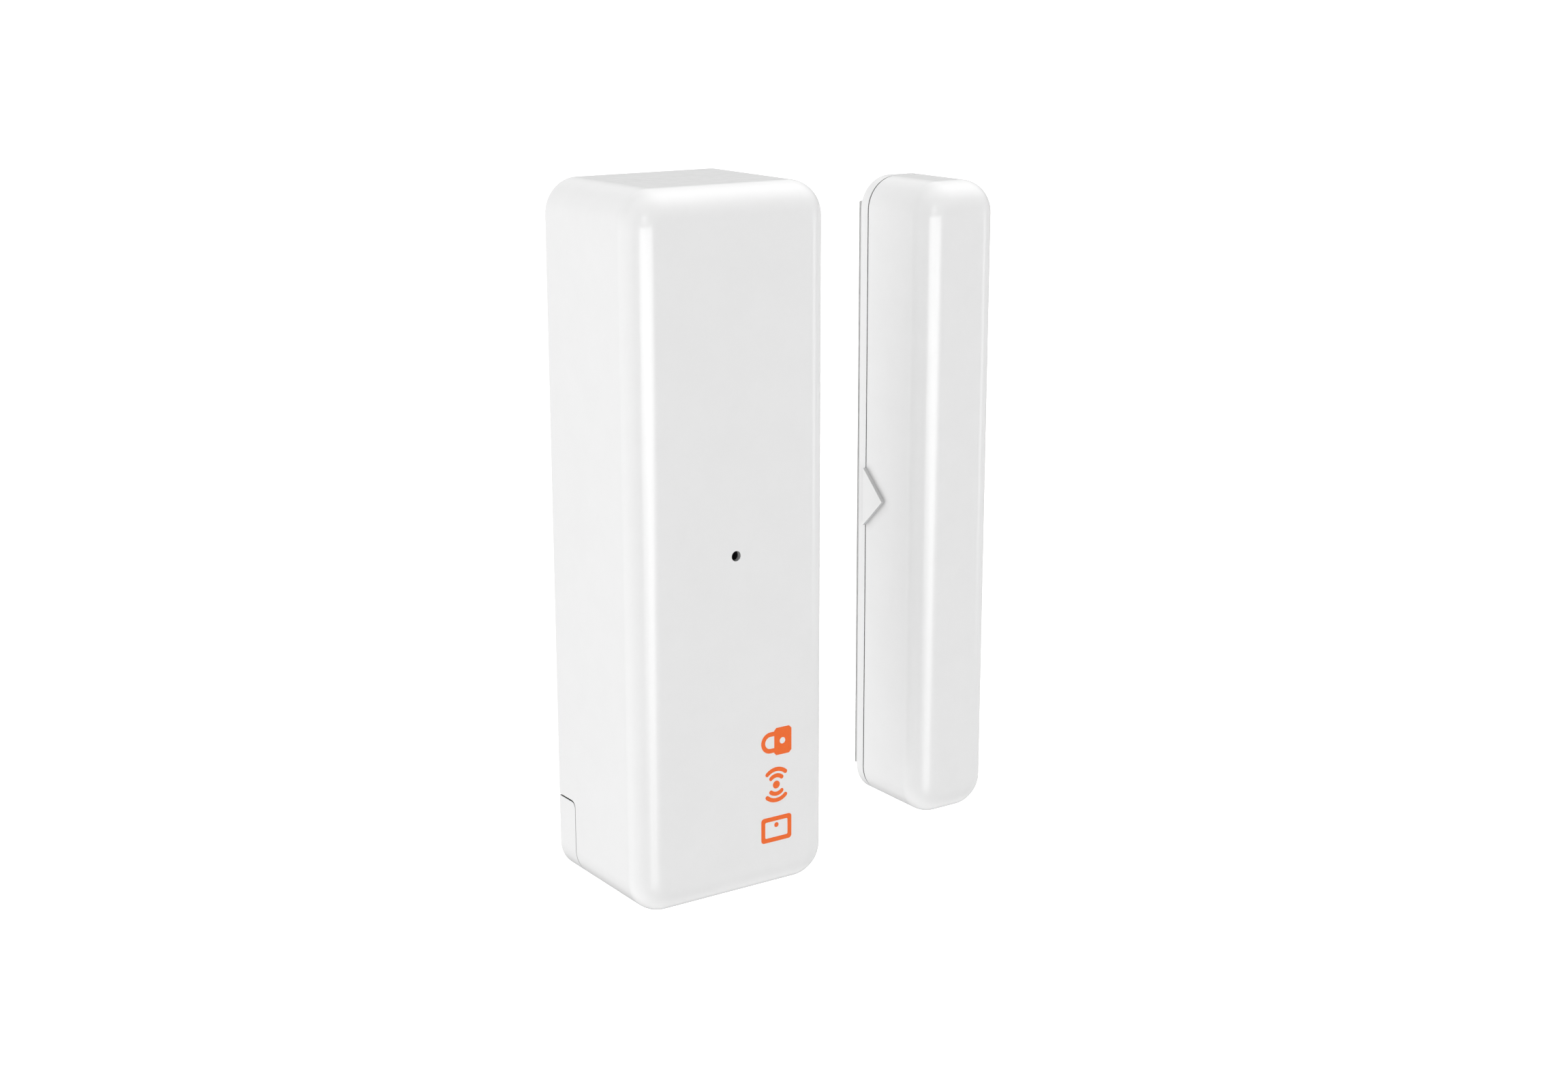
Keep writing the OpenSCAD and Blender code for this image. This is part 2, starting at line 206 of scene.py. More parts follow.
def tube(points, r, sides=12, mat=0, caps=True, closed=False):
    """A round wire along points; frames are carried along without twist."""
    pts = [Vector(p) for p in points]
    n = len(pts)
    rings = []
    t = (pts[1] - pts[0]).normalized()
    a = t.orthogonal().normalized()
    for i in range(n):
        if i == 0:
            t2 = (pts[1] - pts[0]).normalized()
        elif i == n - 1:
            t2 = (pts[-1] - pts[-2]).normalized()
        else:
            t2 = (pts[i + 1] - pts[i - 1]).normalized()
        q = t.rotation_difference(t2)
        a = (q @ a).normalized()
        t = t2
        b = t.cross(a)
        rad = r[i] if isinstance(r, (list, tuple)) else r
        rings.append([tuple(pts[i] + (a * math.cos(2 * math.pi * k / sides) + b * math.sin(2 * math.pi * k / sides)) * rad) for k in range(sides)])
    s = Shape()
    s.rings(rings, cap0=caps, cap1=caps, mat=mat)
    return s


def prism(loops, z0, z1, mat=0, bevel=0.0):
    """A plate cut to the first loop of (x, y), with the others as holes, from z0 to z1."""
    s = Shape()

    def area(lp):
        return sum(lp[i][0] * lp[(i + 1) % len(lp)][1] - lp[(i + 1) % len(lp)][0] * lp[i][1] for i in range(len(lp)))

    fixed = []
    for k, lp in enumerate(loops):
        ccw = area(lp) > 0
        want = k == 0
        fixed.append(list(lp) if ccw == want else list(reversed(lp)))
    s.flat([[(x, y, z1) for x, y in lp] for lp in fixed], True, mat)
    s.flat([[(x, y, z0) for x, y in lp] for lp in fixed], False, mat)
    for lp in fixed:
        s.rings([[(x, y, z0) for x, y in lp], [(x, y, z1) for x, y in lp]], mat=mat)
    return s


def turned(shape, fn):
    """The same shape with each vertex moved by fn."""
    s = Shape()
    s.v = [fn(p) for p in shape.v]
    s.f = list(shape.f)
    s.m = list(shape.m)
    return s


def build(shape, name, mats, weld=1e-5, sharp=32.0, weighted=True):
    """Makes the object, in metres, in the frame."""
    me = bpy.data.meshes.new(name)
    me.from_pydata([W(p) for p in shape.v], [], shape.f)
    for m in mats:
        me.materials.append(m)
    for p, k in zip(me.polygons, shape.m):
        p.material_index = k
    bm = bmesh.new()
    bm.from_mesh(me)
    bmesh.ops.remove_doubles(bm, verts=bm.verts, dist=weld * 1e-3 if weld > 1e-3 else 1e-7)
    bmesh.ops.dissolve_degenerate(bm, edges=bm.edges, dist=1e-8)
    bmesh.ops.recalc_face_normals(bm, faces=bm.faces)
    bm.to_mesh(me)
    bm.free()
    me.shade_smooth()
    me.set_sharp_from_angle(angle=math.radians(sharp))
    ob = bpy.data.objects.new(name, me)
    scene.collection.objects.link(ob)
    if weighted:
        wn = ob.modifiers.new("weighted", "WEIGHTED_NORMAL")
        wn.mode = "FACE_AREA"
        wn.weight = 50
        wn.keep_sharp = True
    return ob


def boolean(ob, cutters, op="DIFFERENCE"):
    """Cuts the shapes off the object's mesh, or adds them, and applies the result."""
    for i, c in enumerate(cutters):
        tmp = build(c, ob.name + ".tool%d" % i, [], weighted=False)
        md = ob.modifiers.new("cut", "BOOLEAN")
        md.operation = op
        md.object = tmp
        md.solver = "EXACT"
        bpy.context.view_layer.update()
        dg = bpy.context.evaluated_depsgraph_get()
        new = bpy.data.meshes.new_from_object(ob.evaluated_get(dg), depsgraph=dg)
        old = ob.data
        ob.modifiers.remove(md)
        ob.data = new
        new.name = ob.name
        bpy.data.meshes.remove(old)
        m2 = tmp.data
        bpy.data.objects.remove(tmp)
        bpy.data.meshes.remove(m2)
    return ob


def exact_normals(ob, fields, limit=24.0):
    """Gives each face corner that lies on one of the rounded walls that wall's own normal."""
    me = ob.data
    lim = math.cos(math.radians(limit))
    me.shade_smooth()
    out = []
    for p in me.polygons:
        fn = p.normal
        for li in p.loop_indices:
            co = me.vertices[me.loops[li].vertex_index].co
            x, y, z = co.x * 1e3, co.z * 1e3, -co.y * 1e3
            best = None
            for field in fields:
                n = field(x, y, z)
                if n is None:
                    continue
                n = Vector((n[0], -n[2], n[1]))
                if n.dot(fn) > lim and (best is None or n.dot(fn) > best.dot(fn)):
                    best = n
            out.append(best if best is not None else fn.copy())
    me.normals_split_custom_set([tuple(n) for n in out])
    return ob


def paint(ob, index, test):
    """Gives the faces for which test(centre, normal) holds another material; wall view, millimetres."""
    for p in ob.data.polygons:
        c, n = p.center, p.normal
        if test((c.x * 1e3, c.z * 1e3, -c.y * 1e3), (n.x, n.z, -n.y)):
            p.material_index = index


def split(ob, planes, test):
    """Splits the faces for which test(centre, normal) holds along planes (point, normal); wall view, millimetres."""
    bm = bmesh.new()
    bm.from_mesh(ob.data)
    for co, no in planes:
        geom = set()
        for f in bm.faces:
            c, n = f.calc_center_median(), f.normal
            if test((c.x * 1e3, c.z * 1e3, -c.y * 1e3), (n.x, n.z, -n.y)):
                geom.add(f)
                geom.update(f.edges)
                geom.update(f.verts)
        bmesh.ops.bisect_plane(bm, geom=list(geom), plane_co=W(co), plane_no=Vector((no[0], -no[2], no[1])), dist=1e-8)
    bm.to_mesh(ob.data)
    bm.free()


def soft_field(w, h, r, zf, f, cx=0.0, cy=0.0, sign=1.0, tol=0.004):
    """Normals of a rounded block's wall and front; sign -1 for a cavity."""

    def field(x, y, z):
        u, v = x - cx, y - cy
        sx, sy = (1 if u >= 0 else -1), (1 if v >= 0 else -1)
        dx, dy = abs(u) - (w / 2 - r), abs(v) - (h / 2 - r)
        if dx > 0 and dy > 0:
            l = math.hypot(dx, dy)
            o = (sx * dx / l, sy * dy / l)
            d = r - l
        elif dx > dy:
            o, d = (sx, 0.0), r - dx
        else:
            o, d = (0.0, sy), r - dy
        if f <= 0 or z <= zf - f + 1e-6:
            if abs(d) > tol:
                return None
            return (sign * o[0], sign * o[1], 0.0)
        if d >= f - 1e-4:
            if abs(z - zf) > tol:
                return None
            return (0.0, 0.0, sign)
        a, b = f - d, z - (zf - f)
        l = math.hypot(a, b)
        if abs(l - f) > tol:
            return None
        return (sign * o[0] * a / l, sign * o[1] * a / l, sign * b / l)

    return field


# ---------------------------------------------------------------- materials


def new_mat(name):
    m = bpy.data.materials.new(name)
    m.use_nodes = True
    nt = m.node_tree
    p = next(n for n in nt.nodes if n.type == "BSDF_PRINCIPLED")
    return m, nt, p


def coord(nt):
    t = nt.nodes.get("coords") or nt.nodes.new("ShaderNodeTexCoord")
    t.name = "coords"
    return t.outputs["Object"]


def noise(nt, scale, detail=3.0, rough=0.55, vec=None, dist=0.0):
    n = nt.nodes.new("ShaderNodeTexNoise")
    n.inputs["Scale"].default_value = scale
    n.inputs["Detail"].default_value = detail
    n.inputs["Roughness"].default_value = rough
    n.inputs["Distortion"].default_value = dist
    nt.links.new(vec or coord(nt), n.inputs["Vector"])
    return n.outputs["Fac"]


def voronoi(nt, scale, feature="F1", vec=None):
    n = nt.nodes.new("ShaderNodeTexVoronoi")
    n.feature = feature
    n.inputs["Scale"].default_value = scale
    nt.links.new(vec or coord(nt), n.inputs["Vector"])
    return n.outputs["Distance"]


def stretched(nt, sx, sy, sz):
    n = nt.nodes.new("ShaderNodeMapping")
    n.inputs["Scale"].default_value = (sx, sy, sz)
    nt.links.new(coord(nt), n.inputs["Vector"])
    return n.outputs["Vector"]


def maprange(nt, val, a, b, lo, hi, smooth=False):
    n = nt.nodes.new("ShaderNodeMapRange")
    n.interpolation_type = "SMOOTHSTEP" if smooth else "LINEAR"
    n.inputs["From Min"].default_value = a
    n.inputs["From Max"].default_value = b
    n.inputs["To Min"].default_value = lo
    n.inputs["To Max"].default_value = hi
    nt.links.new(val, n.inputs["Value"])
    return n.outputs["Result"]


def math_node(nt, op, a, b=None):
    n = nt.nodes.new("ShaderNodeMath")
    n.operation = op
    for i, v in enumerate((a, b)):
        if v is None:
            continue
        if isinstance(v, (int, float)):
            n.inputs[i].default_value = v
        else:
            nt.links.new(v, n.inputs[i])
    return n.outputs[0]


def mix(nt, fac, a, b):
    n = nt.nodes.new("ShaderNodeMix")
    n.data_type = "RGBA"
    if isinstance(fac, (int, float)):
        n.inputs[0].default_value = fac
    else:
        nt.links.new(fac, n.inputs[0])
    for s, v in ((6, a), (7, b)):
        if isinstance(v, (tuple, list)):
            n.inputs[s].default_value = (v[0], v[1], v[2], 1.0)
        else:
            nt.links.new(v, n.inputs[s])
    return n.outputs[2]


def bump(nt, height, strength, distance, normal=None):
    n = nt.nodes.new("ShaderNodeBump")
    n.inputs["Strength"].default_value = strength
    n.inputs["Distance"].default_value = distance
    nt.links.new(height, n.inputs["Height"])
    if normal is not None:
        nt.links.new(normal, n.inputs["Normal"])
    return n.outputs["Normal"]


def setp(p, **kw):
    names = {"color": "Base Color", "rough": "Roughness", "metal": "Metallic", "ior": "IOR", "spec": "Specular IOR Level",
             "coat": "Coat Weight", "coat_rough": "Coat Roughness", "trans": "Transmission Weight", "sss": "Subsurface Weight",
             "sss_scale": "Subsurface Scale", "aniso": "Anisotropic", "sheen": "Sheen Weight", "sheen_rough": "Sheen Roughness"}
    for k, v in kw.items():
        s = p.inputs[names[k]]
        s.default_value = (v[0], v[1], v[2], 1.0) if k == "color" else v


def plastic(name, a, b, rough=(0.22, 0.28), grain=9000.0, depth=1.0e-6, scale=260.0, **kw):
    """Moulded plastic: faint flow variation, a very fine spark-eroded grain."""
    m, nt, p = new_mat(name)
    setp(p, **kw)
    flow = noise(nt, scale, 4.0, 0.6)
    nt.links.new(mix(nt, maprange(nt, flow, 0.3, 0.7, 0.0, 1.0), a, b), p.inputs["Base Color"])
    nt.links.new(maprange(nt, noise(nt, scale * 4, 3.0), 0.3, 0.7, rough[0], rough[1]), p.inputs["Roughness"])
    g = noise(nt, grain, 2.0, 0.5)
    n1 = bump(nt, g, 1.0, depth)
    sink = noise(nt, 120.0, 1.0, 0.4)
    nt.links.new(bump(nt, sink, 1.0, depth * 6, n1), p.inputs["Normal"])
    return m


def metal(name, a, b, rough=(0.18, 0.3), brush=None, depth=1.5e-6, scale=1500.0, **kw):
    m, nt, p = new_mat(name)
    setp(p, metal=1.0, **kw)
    n = noise(nt, scale, 4.0, 0.6)
    nt.links.new(mix(nt, maprange(nt, n, 0.35, 0.7, 0.0, 1.0), a, b), p.inputs["Base Color"])
    v = stretched(nt, *brush) if brush else None
    n2 = noise(nt, scale * 2, 4.0, 0.65, v)
    nt.links.new(maprange(nt, n2, 0.3, 0.7, rough[0], rough[1]), p.inputs["Roughness"])
    nt.links.new(bump(nt, n2, 1.0, depth), p.inputs["Normal"])
    return m


WHITE = plastic("abs_white", (0.796, 0.796, 0.796), (0.811, 0.811, 0.811), rough=(0.175, 0.205), spec=0.5, ior=1.5)


def seam_shade_paint_material():
    """The same plastic where two mouldings meet, with painted shade: an occlusion test darkens its colour towards black
    while the joint is closed up.
    """
    m, nt, p = new_mat("abs_white_joint_painted_shade")
    setp(p, spec=0.4, ior=1.5)
    ao = nt.nodes.new("ShaderNodeAmbientOcclusion")
    ao.samples = 6
    ao.inputs["Distance"].default_value = 0.0004
    g = maprange(nt, ao.outputs["AO"], 0.30, 0.75, 0.0, 1.0, smooth=True)
    n = noise(nt, 260.0, 4.0, 0.6)
    white = mix(nt, maprange(nt, n, 0.3, 0.7, 0.0, 1.0), (0.79, 0.79, 0.79), (0.81, 0.81, 0.81))
    # painted seam shade: where the occlusion value is low, the colour is blended to near black
    nt.links.new(mix(nt, g, (0.02, 0.02, 0.02), white), p.inputs["Base Color"])
    nt.links.new(maprange(nt, n, 0.3, 0.7, 0.34, 0.42), p.inputs["Roughness"])
    nt.links.new(bump(nt, noise(nt, 9000.0, 2.0), 1.0, 1.0e-6), p.inputs["Normal"])
    return m


SEAM_SHADE_PAINT = seam_shade_paint_material()
SHADE = plastic("abs_in_shade", (0.46, 0.46, 0.46), (0.52, 0.52, 0.52), rough=(0.4, 0.5), scale=2000.0, spec=0.3)


def corner_shadow_paint_material():
    """The white plastic next to a raised edge, with a painted soft shadow: an occlusion test darkens its colour in the
    joint's corner.
    """
    m, nt, p = new_mat("abs_white_corner_painted_shadow")
    setp(p, spec=0.5, ior=1.5)
    ao = nt.nodes.new("ShaderNodeAmbientOcclusion")
    ao.samples = 8
    ao.inputs["Distance"].default_value = 0.0011
    g = maprange(nt, ao.outputs["AO"], 0.45, 1.0, 0.0, 1.0)
    n = noise(nt, 260.0, 4.0, 0.6)
    white = mix(nt, maprange(nt, n, 0.3, 0.7, 0.0, 1.0), (0.796, 0.796, 0.796), (0.811, 0.811, 0.811))
    # painted shadow: where the occlusion value is low, the colour is blended to mid grey
    nt.links.new(mix(nt, g, (0.55, 0.55, 0.55), white), p.inputs["Base Color"])
    nt.links.new(maprange(nt, n, 0.3, 0.7, 0.175, 0.205), p.inputs["Roughness"])
    nt.links.new(bump(nt, noise(nt, 9000.0, 2.0), 1.0, 1.0e-6), p.inputs["Normal"])
    return m


CORNER_SHADOW_PAINT = corner_shadow_paint_material()
# the arrow's flanks: the same white plastic, painted a flat darker grey as shade
FLANK_SHADE_PAINT = plastic("abs_arrow_flank_painted_shade", (0.50, 0.50, 0.50), (0.54, 0.54, 0.54), rough=(0.3, 0.4), spec=0.4, ior=1.5)


def foam_material():
    m, nt, p = new_mat("foam_tape")
    setp(p, spec=0.35, sheen=0.25, sheen_rough=0.6)
    cells = voronoi(nt, 9000.0)
    big = noise(nt, 2500.0, 4.0, 0.6)
    nt.links.new(mix(nt, maprange(nt, big, 0.3, 0.7, 0.0, 1.0), (0.55, 0.55, 0.547), (0.63, 0.63, 0.625)), p.inputs["Base Color"])
    nt.links.new(maprange(nt, big, 0.3, 0.7, 0.75, 0.9), p.inputs["Roughness"])
    n1 = bump(nt, cells, 1.0, 2.5e-5)
    nt.links.new(bump(nt, big, 1.0, 4e-5, n1), p.inputs["Normal"])
    return m


FOAM = foam_material()


def glue_material():
    m, nt, p = new_mat("pad_film")
    setp(p, spec=0.5, coat=0.3, coat_rough=0.25)
    n = noise(nt, 900.0, 4.0, 0.6)
    nt.links.new(mix(nt, maprange(nt, n, 0.3, 0.7, 0.0, 1.0), (0.58, 0.58, 0.57), (0.64, 0.64, 0.63)), p.inputs["Base Color"])
    nt.links.new(maprange(nt, n, 0.3, 0.7, 0.35, 0.5), p.inputs["Roughness"])
    nt.links.new(bump(nt, noise(nt, 1800.0, 3.0), 1.0, 2e-5), p.inputs["Normal"])
    return m


FILM = glue_material()


def ink_material():
    m, nt, p = new_mat("orange_print")
    setp(p, spec=0.45)
    n = noise(nt, 3000.0, 4.0, 0.6)
    nt.links.new(mix(nt, maprange(nt, n, 0.3, 0.7, 0.0, 1.0), (0.84, 0.140, 0.020), (0.86, 0.152, 0.025)), p.inputs["Base Color"])
    nt.links.new(maprange(nt, n, 0.3, 0.7, 0.38, 0.46), p.inputs["Roughness"])
    nt.links.new(bump(nt, noise(nt, 12000.0, 2.0), 1.0, 2e-6), p.inputs["Normal"])
    return m


INK = ink_material()


def board_material():
    """Solder mask over a weave of glass cloth."""
    m, nt, p = new_mat("solder_mask")
    setp(p, spec=0.5, coat=0.35, coat_rough=0.12)
    w1 = nt.nodes.new("ShaderNodeTexWave"); w1.bands_direction = "X"
    w2 = nt.nodes.new("ShaderNodeTexWave"); w2.bands_direction = "Z"
    for w in (w1, w2):
        w.inputs["Scale"].default_value = 700.0
        w.inputs["Distortion"].default_value = 0.4
        nt.links.new(coord(nt), w.inputs["Vector"])
    weave = math_node(nt, "MULTIPLY", w1.outputs["Fac"], w2.outputs["Fac"])
    base = mix(nt, maprange(nt, noise(nt, 400.0, 4.0), 0.3, 0.7, 0.0, 1.0), (0.012, 0.105, 0.040), (0.016, 0.125, 0.048))
    nt.links.new(mix(nt, maprange(nt, weave, 0.0, 1.0, 0.0, 0.22), base, (0.03, 0.18, 0.07)), p.inputs["Base Color"])
    nt.links.new(maprange(nt, noise(nt, 900.0, 3.0), 0.3, 0.7, 0.22, 0.32), p.inputs["Roughness"])
    nt.links.new(bump(nt, weave, 1.0, 2.5e-6), p.inputs["Normal"])
    return m


MASK = board_material()
TRACE = plastic("solder_mask_over_copper", (0.022, 0.20, 0.075), (0.028, 0.225, 0.085), rough=(0.2, 0.3), scale=900.0, spec=0.5, coat=0.35, coat_rough=0.12)
SILK = plastic("white_print", (0.72, 0.72, 0.70), (0.78, 0.78, 0.76), rough=(0.5, 0.6), scale=2000.0)
TIN = metal("tinned_copper", (0.66, 0.66, 0.66), (0.80, 0.80, 0.79), rough=(0.2, 0.34))
SOLDER = metal("solder", (0.60, 0.61, 0.62), (0.74, 0.75, 0.76), rough=(0.12, 0.26), depth=4e-6)
NICKEL = metal("nickel_plate", (0.60, 0.58, 0.54), (0.70, 0.68, 0.64), rough=(0.16, 0.28), brush=(1, 1, 0.15))
SPRINGSTEEL = metal("spring_nickel", (0.62, 0.61, 0.58), (0.74, 0.73, 0.70), rough=(0.14, 0.24))
ZINC = metal("zinc_screw", (0.56, 0.57, 0.58), (0.70, 0.71, 0.72), rough=(0.22, 0.36))
GOLD = metal("gold_flash", (0.72, 0.52, 0.24), (0.82, 0.62, 0.32), rough=(0.18, 0.3))
COPPER = metal("enamelled_copper", (0.55, 0.20, 0.07), (0.66, 0.27, 0.10), rough=(0.16, 0.26), coat=0.6, coat_rough=0.08)
ALU = metal("aluminium_can", (0.70, 0.71, 0.72), (0.80, 0.81, 0.82), rough=(0.2, 0.32), brush=(1, 0.05, 1))
EPOXY = plastic("chip_epoxy", (0.012, 0.012, 0.013), (0.022, 0.022, 0.024), rough=(0.5, 0.65), grain=14000.0, depth=5e-6, scale=1800.0, spec=0.4)
# black nylon; also painted on the pinhole's deep wall as its shade
BLACK_NYLON_AND_PAINTED_HOLE_SHADE = plastic("black_nylon_and_painted_hole_shade", (0.010, 0.010, 0.011), (0.018, 0.018, 0.019), rough=(0.42, 0.55), depth=3e-6, scale=700.0, spec=0.4)
CERAMIC = plastic("white_ceramic", (0.66, 0.65, 0.61), (0.74, 0.73, 0.70), rough=(0.45, 0.6), scale=2500.0, depth=3e-6)
CAPCER = plastic("capacitor_ceramic", (0.40, 0.25, 0.13), (0.52, 0.35, 0.20), rough=(0.4, 0.55), scale=2500.0, depth=3e-6)
RESBODY = plastic("resistor_glaze", (0.015, 0.015, 0.017), (0.03, 0.03, 0.034), rough=(0.25, 0.4), scale=2500.0, depth=2e-6)
RESIN = plastic("led_resin", (0.72, 0.62, 0.20), (0.80, 0.70, 0.28), rough=(0.15, 0.25), scale=2500.0, trans=0.35, ior=1.5)


# near-black smoked plastic, dark enough to stand in for the shade inside the pinhole
SMOKED_WINDOW_AND_HOLE_SHADE = plastic("smoked_window_and_hole_shade", (0.004, 0.004, 0.005), (0.007, 0.006, 0.007), rough=(0.25, 0.35), scale=2500.0, spec=0.3)


def sleeve_material():
    """Shrink sleeve: dark blue with a plain lighter band near the plus end."""
    m, nt, p = new_mat("cell_sleeve")
    setp(p, spec=0.5, coat=0.5, coat_rough=0.1)
    sep = nt.nodes.new("ShaderNodeSeparateXYZ")
    nt.links.new(coord(nt), sep.inputs[0])
    z = sep.outputs["Z"]
    n = noise(nt, 500.0, 4.0)
    body = mix(nt, maprange(nt, n, 0.3, 0.7, 0.0, 1.0), (0.010, 0.022, 0.075), (0.016, 0.032, 0.10))
    top = math_node(nt, "MULTIPLY", math_node(nt, "GREATER_THAN", z, 0.0006), math_node(nt, "LESS_THAN", z, 0.0036))
    c = mix(nt, top, body, (0.50, 0.36, 0.12))
    nt.links.new(c, p.inputs["Base Color"])
    nt.links.new(maprange(nt, noise(nt, 1200.0, 3.0), 0.3, 0.7, 0.16, 0.28), p.inputs["Roughness"])
    wr = noise(nt, 700.0, 3.0, 0.6, stretched(nt, 1, 1, 0.25))
    nt.links.new(bump(nt, wr, 1.0, 1.2e-5), p.inputs["Normal"])
    return m


SLEEVE = sleeve_material()


def ferrite_material():
    m, nt, p = new_mat("ferrite")
    setp(p, spec=0.45, metal=0.25)
    n = noise(nt, 6000.0, 6.0, 0.7)
    pits = voronoi(nt, 2200.0)
    nt.links.new(mix(nt, maprange(nt, n, 0.3, 0.75, 0.0, 1.0), (0.035, 0.034, 0.036), (0.085, 0.083, 0.085)), p.inputs["Base Color"])
    nt.links.new(maprange(nt, n, 0.3, 0.7, 0.42, 0.62), p.inputs["Roughness"])
    n1 = bump(nt, n, 1.0, 1.2e-5)
    nt.links.new(bump(nt, maprange(nt, pits, 0.0, 0.12, 0.0, 1.0), 1.0, 1.5e-5, n1), p.inputs["Normal"])
    return m


FERRITE = ferrite_material()


def glass_material():
    m, nt, p = new_mat("reed_glass")
    setp(p, color=(0.80, 0.93, 0.87), trans=1.0, ior=1.5, rough=0.02)
    n = noise(nt, 800.0, 3.0)
    nt.links.new(maprange(nt, n, 0.3, 0.7, 0.01, 0.05), p.inputs["Roughness"])
    nt.links.new(bump(nt, n, 1.0, 6e-6), p.inputs["Normal"])
    return m


GLASS = glass_material()

# ---------------------------------------------------------------- housings


def arc_profile(f, seg):
    """Inset and drop of a quarter round of radius f, from the wall to the front."""
    return [(f * (1 - math.cos(math.radians(90 * i / seg))), f * (1 - math.sin(math.radians(90 * i / seg)))) for i in range(seg + 1)]


def block_rings(w, h, r, f, z_from, zf, cx, cy, seg=22, cs=16, lip=0.0):
    """Rings from the rear rim up the wall and round the front edge."""
    out = []
    if lip > 0:
        for i in range(3):
            a = math.radians(90 * i / 3)
            out.append((lip * (1 - math.sin(a)), z_from + lip * (1 - math.cos(a))))
    out.append((0.0, z_from + lip))
    for i, (ins, drop) in enumerate(arc_profile(f, seg)):
        out.append((ins, zf - drop))
    res, last = [], None
    for ins, z in out:
        if last is not None and abs(ins - last[0]) < 1e-7 and abs(z - last[1]) < 1e-7:
            continue
        last = (ins, z)
        res.append(outline(w - 2 * ins, h - 2 * ins, r - ins, z, cx, cy, seg=cs))
    return res


def cover_shell(box, wall, r, f, hole=None, lip=0.05):
    (x0, y0, z0), (x1, y1, zf) = box
    w, h = x1 - x0, y1 - y0
    cx, cy = (x0 + x1) / 2, (y0 + y1) / 2
    s = Shape()
    outer = block_rings(w, h, r, f, z0, zf, cx, cy, lip=lip)
    s.rings(outer)
    inner = block_rings(w - 2 * wall, h - 2 * wall, r - wall, f - wall, z0, zf - wall, cx, cy, seg=10, lip=0.0)
    s.rings([list(reversed(q)) for q in inner])
    # rear rim
    s.rings([list(reversed(outer[0])), list(reversed(inner[0]))])
    if hole:
        hx, hy, hr, collar_r, collar_h, deep = hole
        # front face with its hole, whose mouth is very slightly rounded
        mouth = [(hr + 0.03, zf), (hr + 0.012, zf - 0.006), (hr, zf - 0.03), (hr, zf - deep), (hr, zf - wall - collar_h)]
        s.flat([outer[-1], circle(hx, hy, zf, mouth[0][0], 48)], True)
        s.rings([list(reversed(circle(hx, hy, z, q, 48))) for q, z in mouth[:3]])
        # painted shade in the pinhole: the wall is grey to 0.55 mm deep and black below that
        s.rings([list(reversed(circle(hx, hy, z, q, 48))) for q, z in mouth[2:4]], mat=2)
        s.rings([list(reversed(circle(hx, hy, z, q, 48))) for q, z in mouth[3:]], mat=3)
        s.flat([circle(hx, hy, mouth[-1][1], collar_r - 0.06, 48), circle(hx, hy, mouth[-1][1], hr, 48)], False)
        s.rings([circle(hx, hy, mouth[-1][1], collar_r - 0.06, 48), circle(hx, hy, mouth[-1][1] + 0.06, collar_r, 48), circle(hx, hy, zf - wall, collar_r, 48)])
        s.flat([inner[-1], circle(hx, hy, zf - wall, collar_r, 48)], False)
    else:
        s.flat([outer[-1]], True)
        s.flat([inner[-1]], False)
    return s, (w, h, cx, cy)


CORNER_R, EDGE_R, WALL_S, WALL_M = 3.5, 2.7, 1.4, 1.2
ZB = COVER[0][2]

# sensor cover
shell, (sw, sh, scx, scy) = cover_shell(COVER, WALL_S, CORNER_R, EDGE_R, hole=(0.0, 0.0, 0.52, 1.5, 0.5, 0.55), lip=0.0)
# slots 1, 2, 4 and 5 are painted shade; slot 3, black nylon, is also painted on the pinhole's deep wall as shade
HOUSING = [WHITE, SEAM_SHADE_PAINT, SHADE, BLACK_NYLON_AND_PAINTED_HOLE_SHADE, CORNER_SHADOW_PAINT, FLANK_SHADE_PAINT]
cover = build(shell, "sensor_cover_shell", HOUSING, weighted=False)


def block_prism(top, front, r, half, z0, y_low, seg=10):
    """The lower rear block's side view swept across x: flat top, rounded front top corner."""
    prof = [(z0, y_low), (front, y_low)]
    for i in range(seg + 1):
        a = math.radians(90 * i / seg)
        prof.append((front - r + r * math.cos(a), top - r + r * math.sin(a)))
    prof.append((z0, top))
    s = Shape()
    left = [(-half, y, z) for z, y in prof]
    right = [(half, y, z) for z, y in prof]
    s.rings([left, right], cap0=True, cap1=True)
    return s


block_top, block_front = -27.45, PLATE[1][2]
cuts = [block_prism(block_top + 0.18, block_front + 0.08, 0.7, 14.0, ZB - 1.0, -40.0)]
for sgn in (-1, 1):
    xa, xb = sorted((sgn * 9.4, sgn * 10.5))
    cuts.append(box_shape(xa, -40.0, ZB + 0.75, xb, 32.5, ZB + 1.85, b=0.0))
boolean(cover, cuts)
bosses = []
for bx, by in ((-6.8, 29.2), (6.8, -29.2)):
    zt, zd = BOARD[1][2], COVER[1][2] - WALL_S + 0.15
    prof = [(1.02, zt), (2.12, zt), (2.2, zt + 0.08), (2.2, zd), (0.0, zd), (0.0, zd - 0.05), (1.02, zd - 0.05)]
    s = Shape()
    outer = [circle(bx, by, zt, 2.12, 40), circle(bx, by, zt + 0.08, 2.2, 40), circle(bx, by, zd, 2.2, 40)]
    s.rings(outer)
    s.flat([circle(bx, by, zd, 2.2, 40)], True)
    s.flat([circle(bx, by, zt, 2.12, 40), circle(bx, by, zt, 1.02, 40)], False)
    s.rings([list(reversed(circle(bx, by, zt, 1.02, 40))), list(reversed(circle(bx, by, zd - 0.1, 1.02, 40)))])
    s.flat([circle(bx, by, zd - 0.1, 1.02, 40)], False)
    bosses.append(s)
boolean(cover, bosses, "UNION")
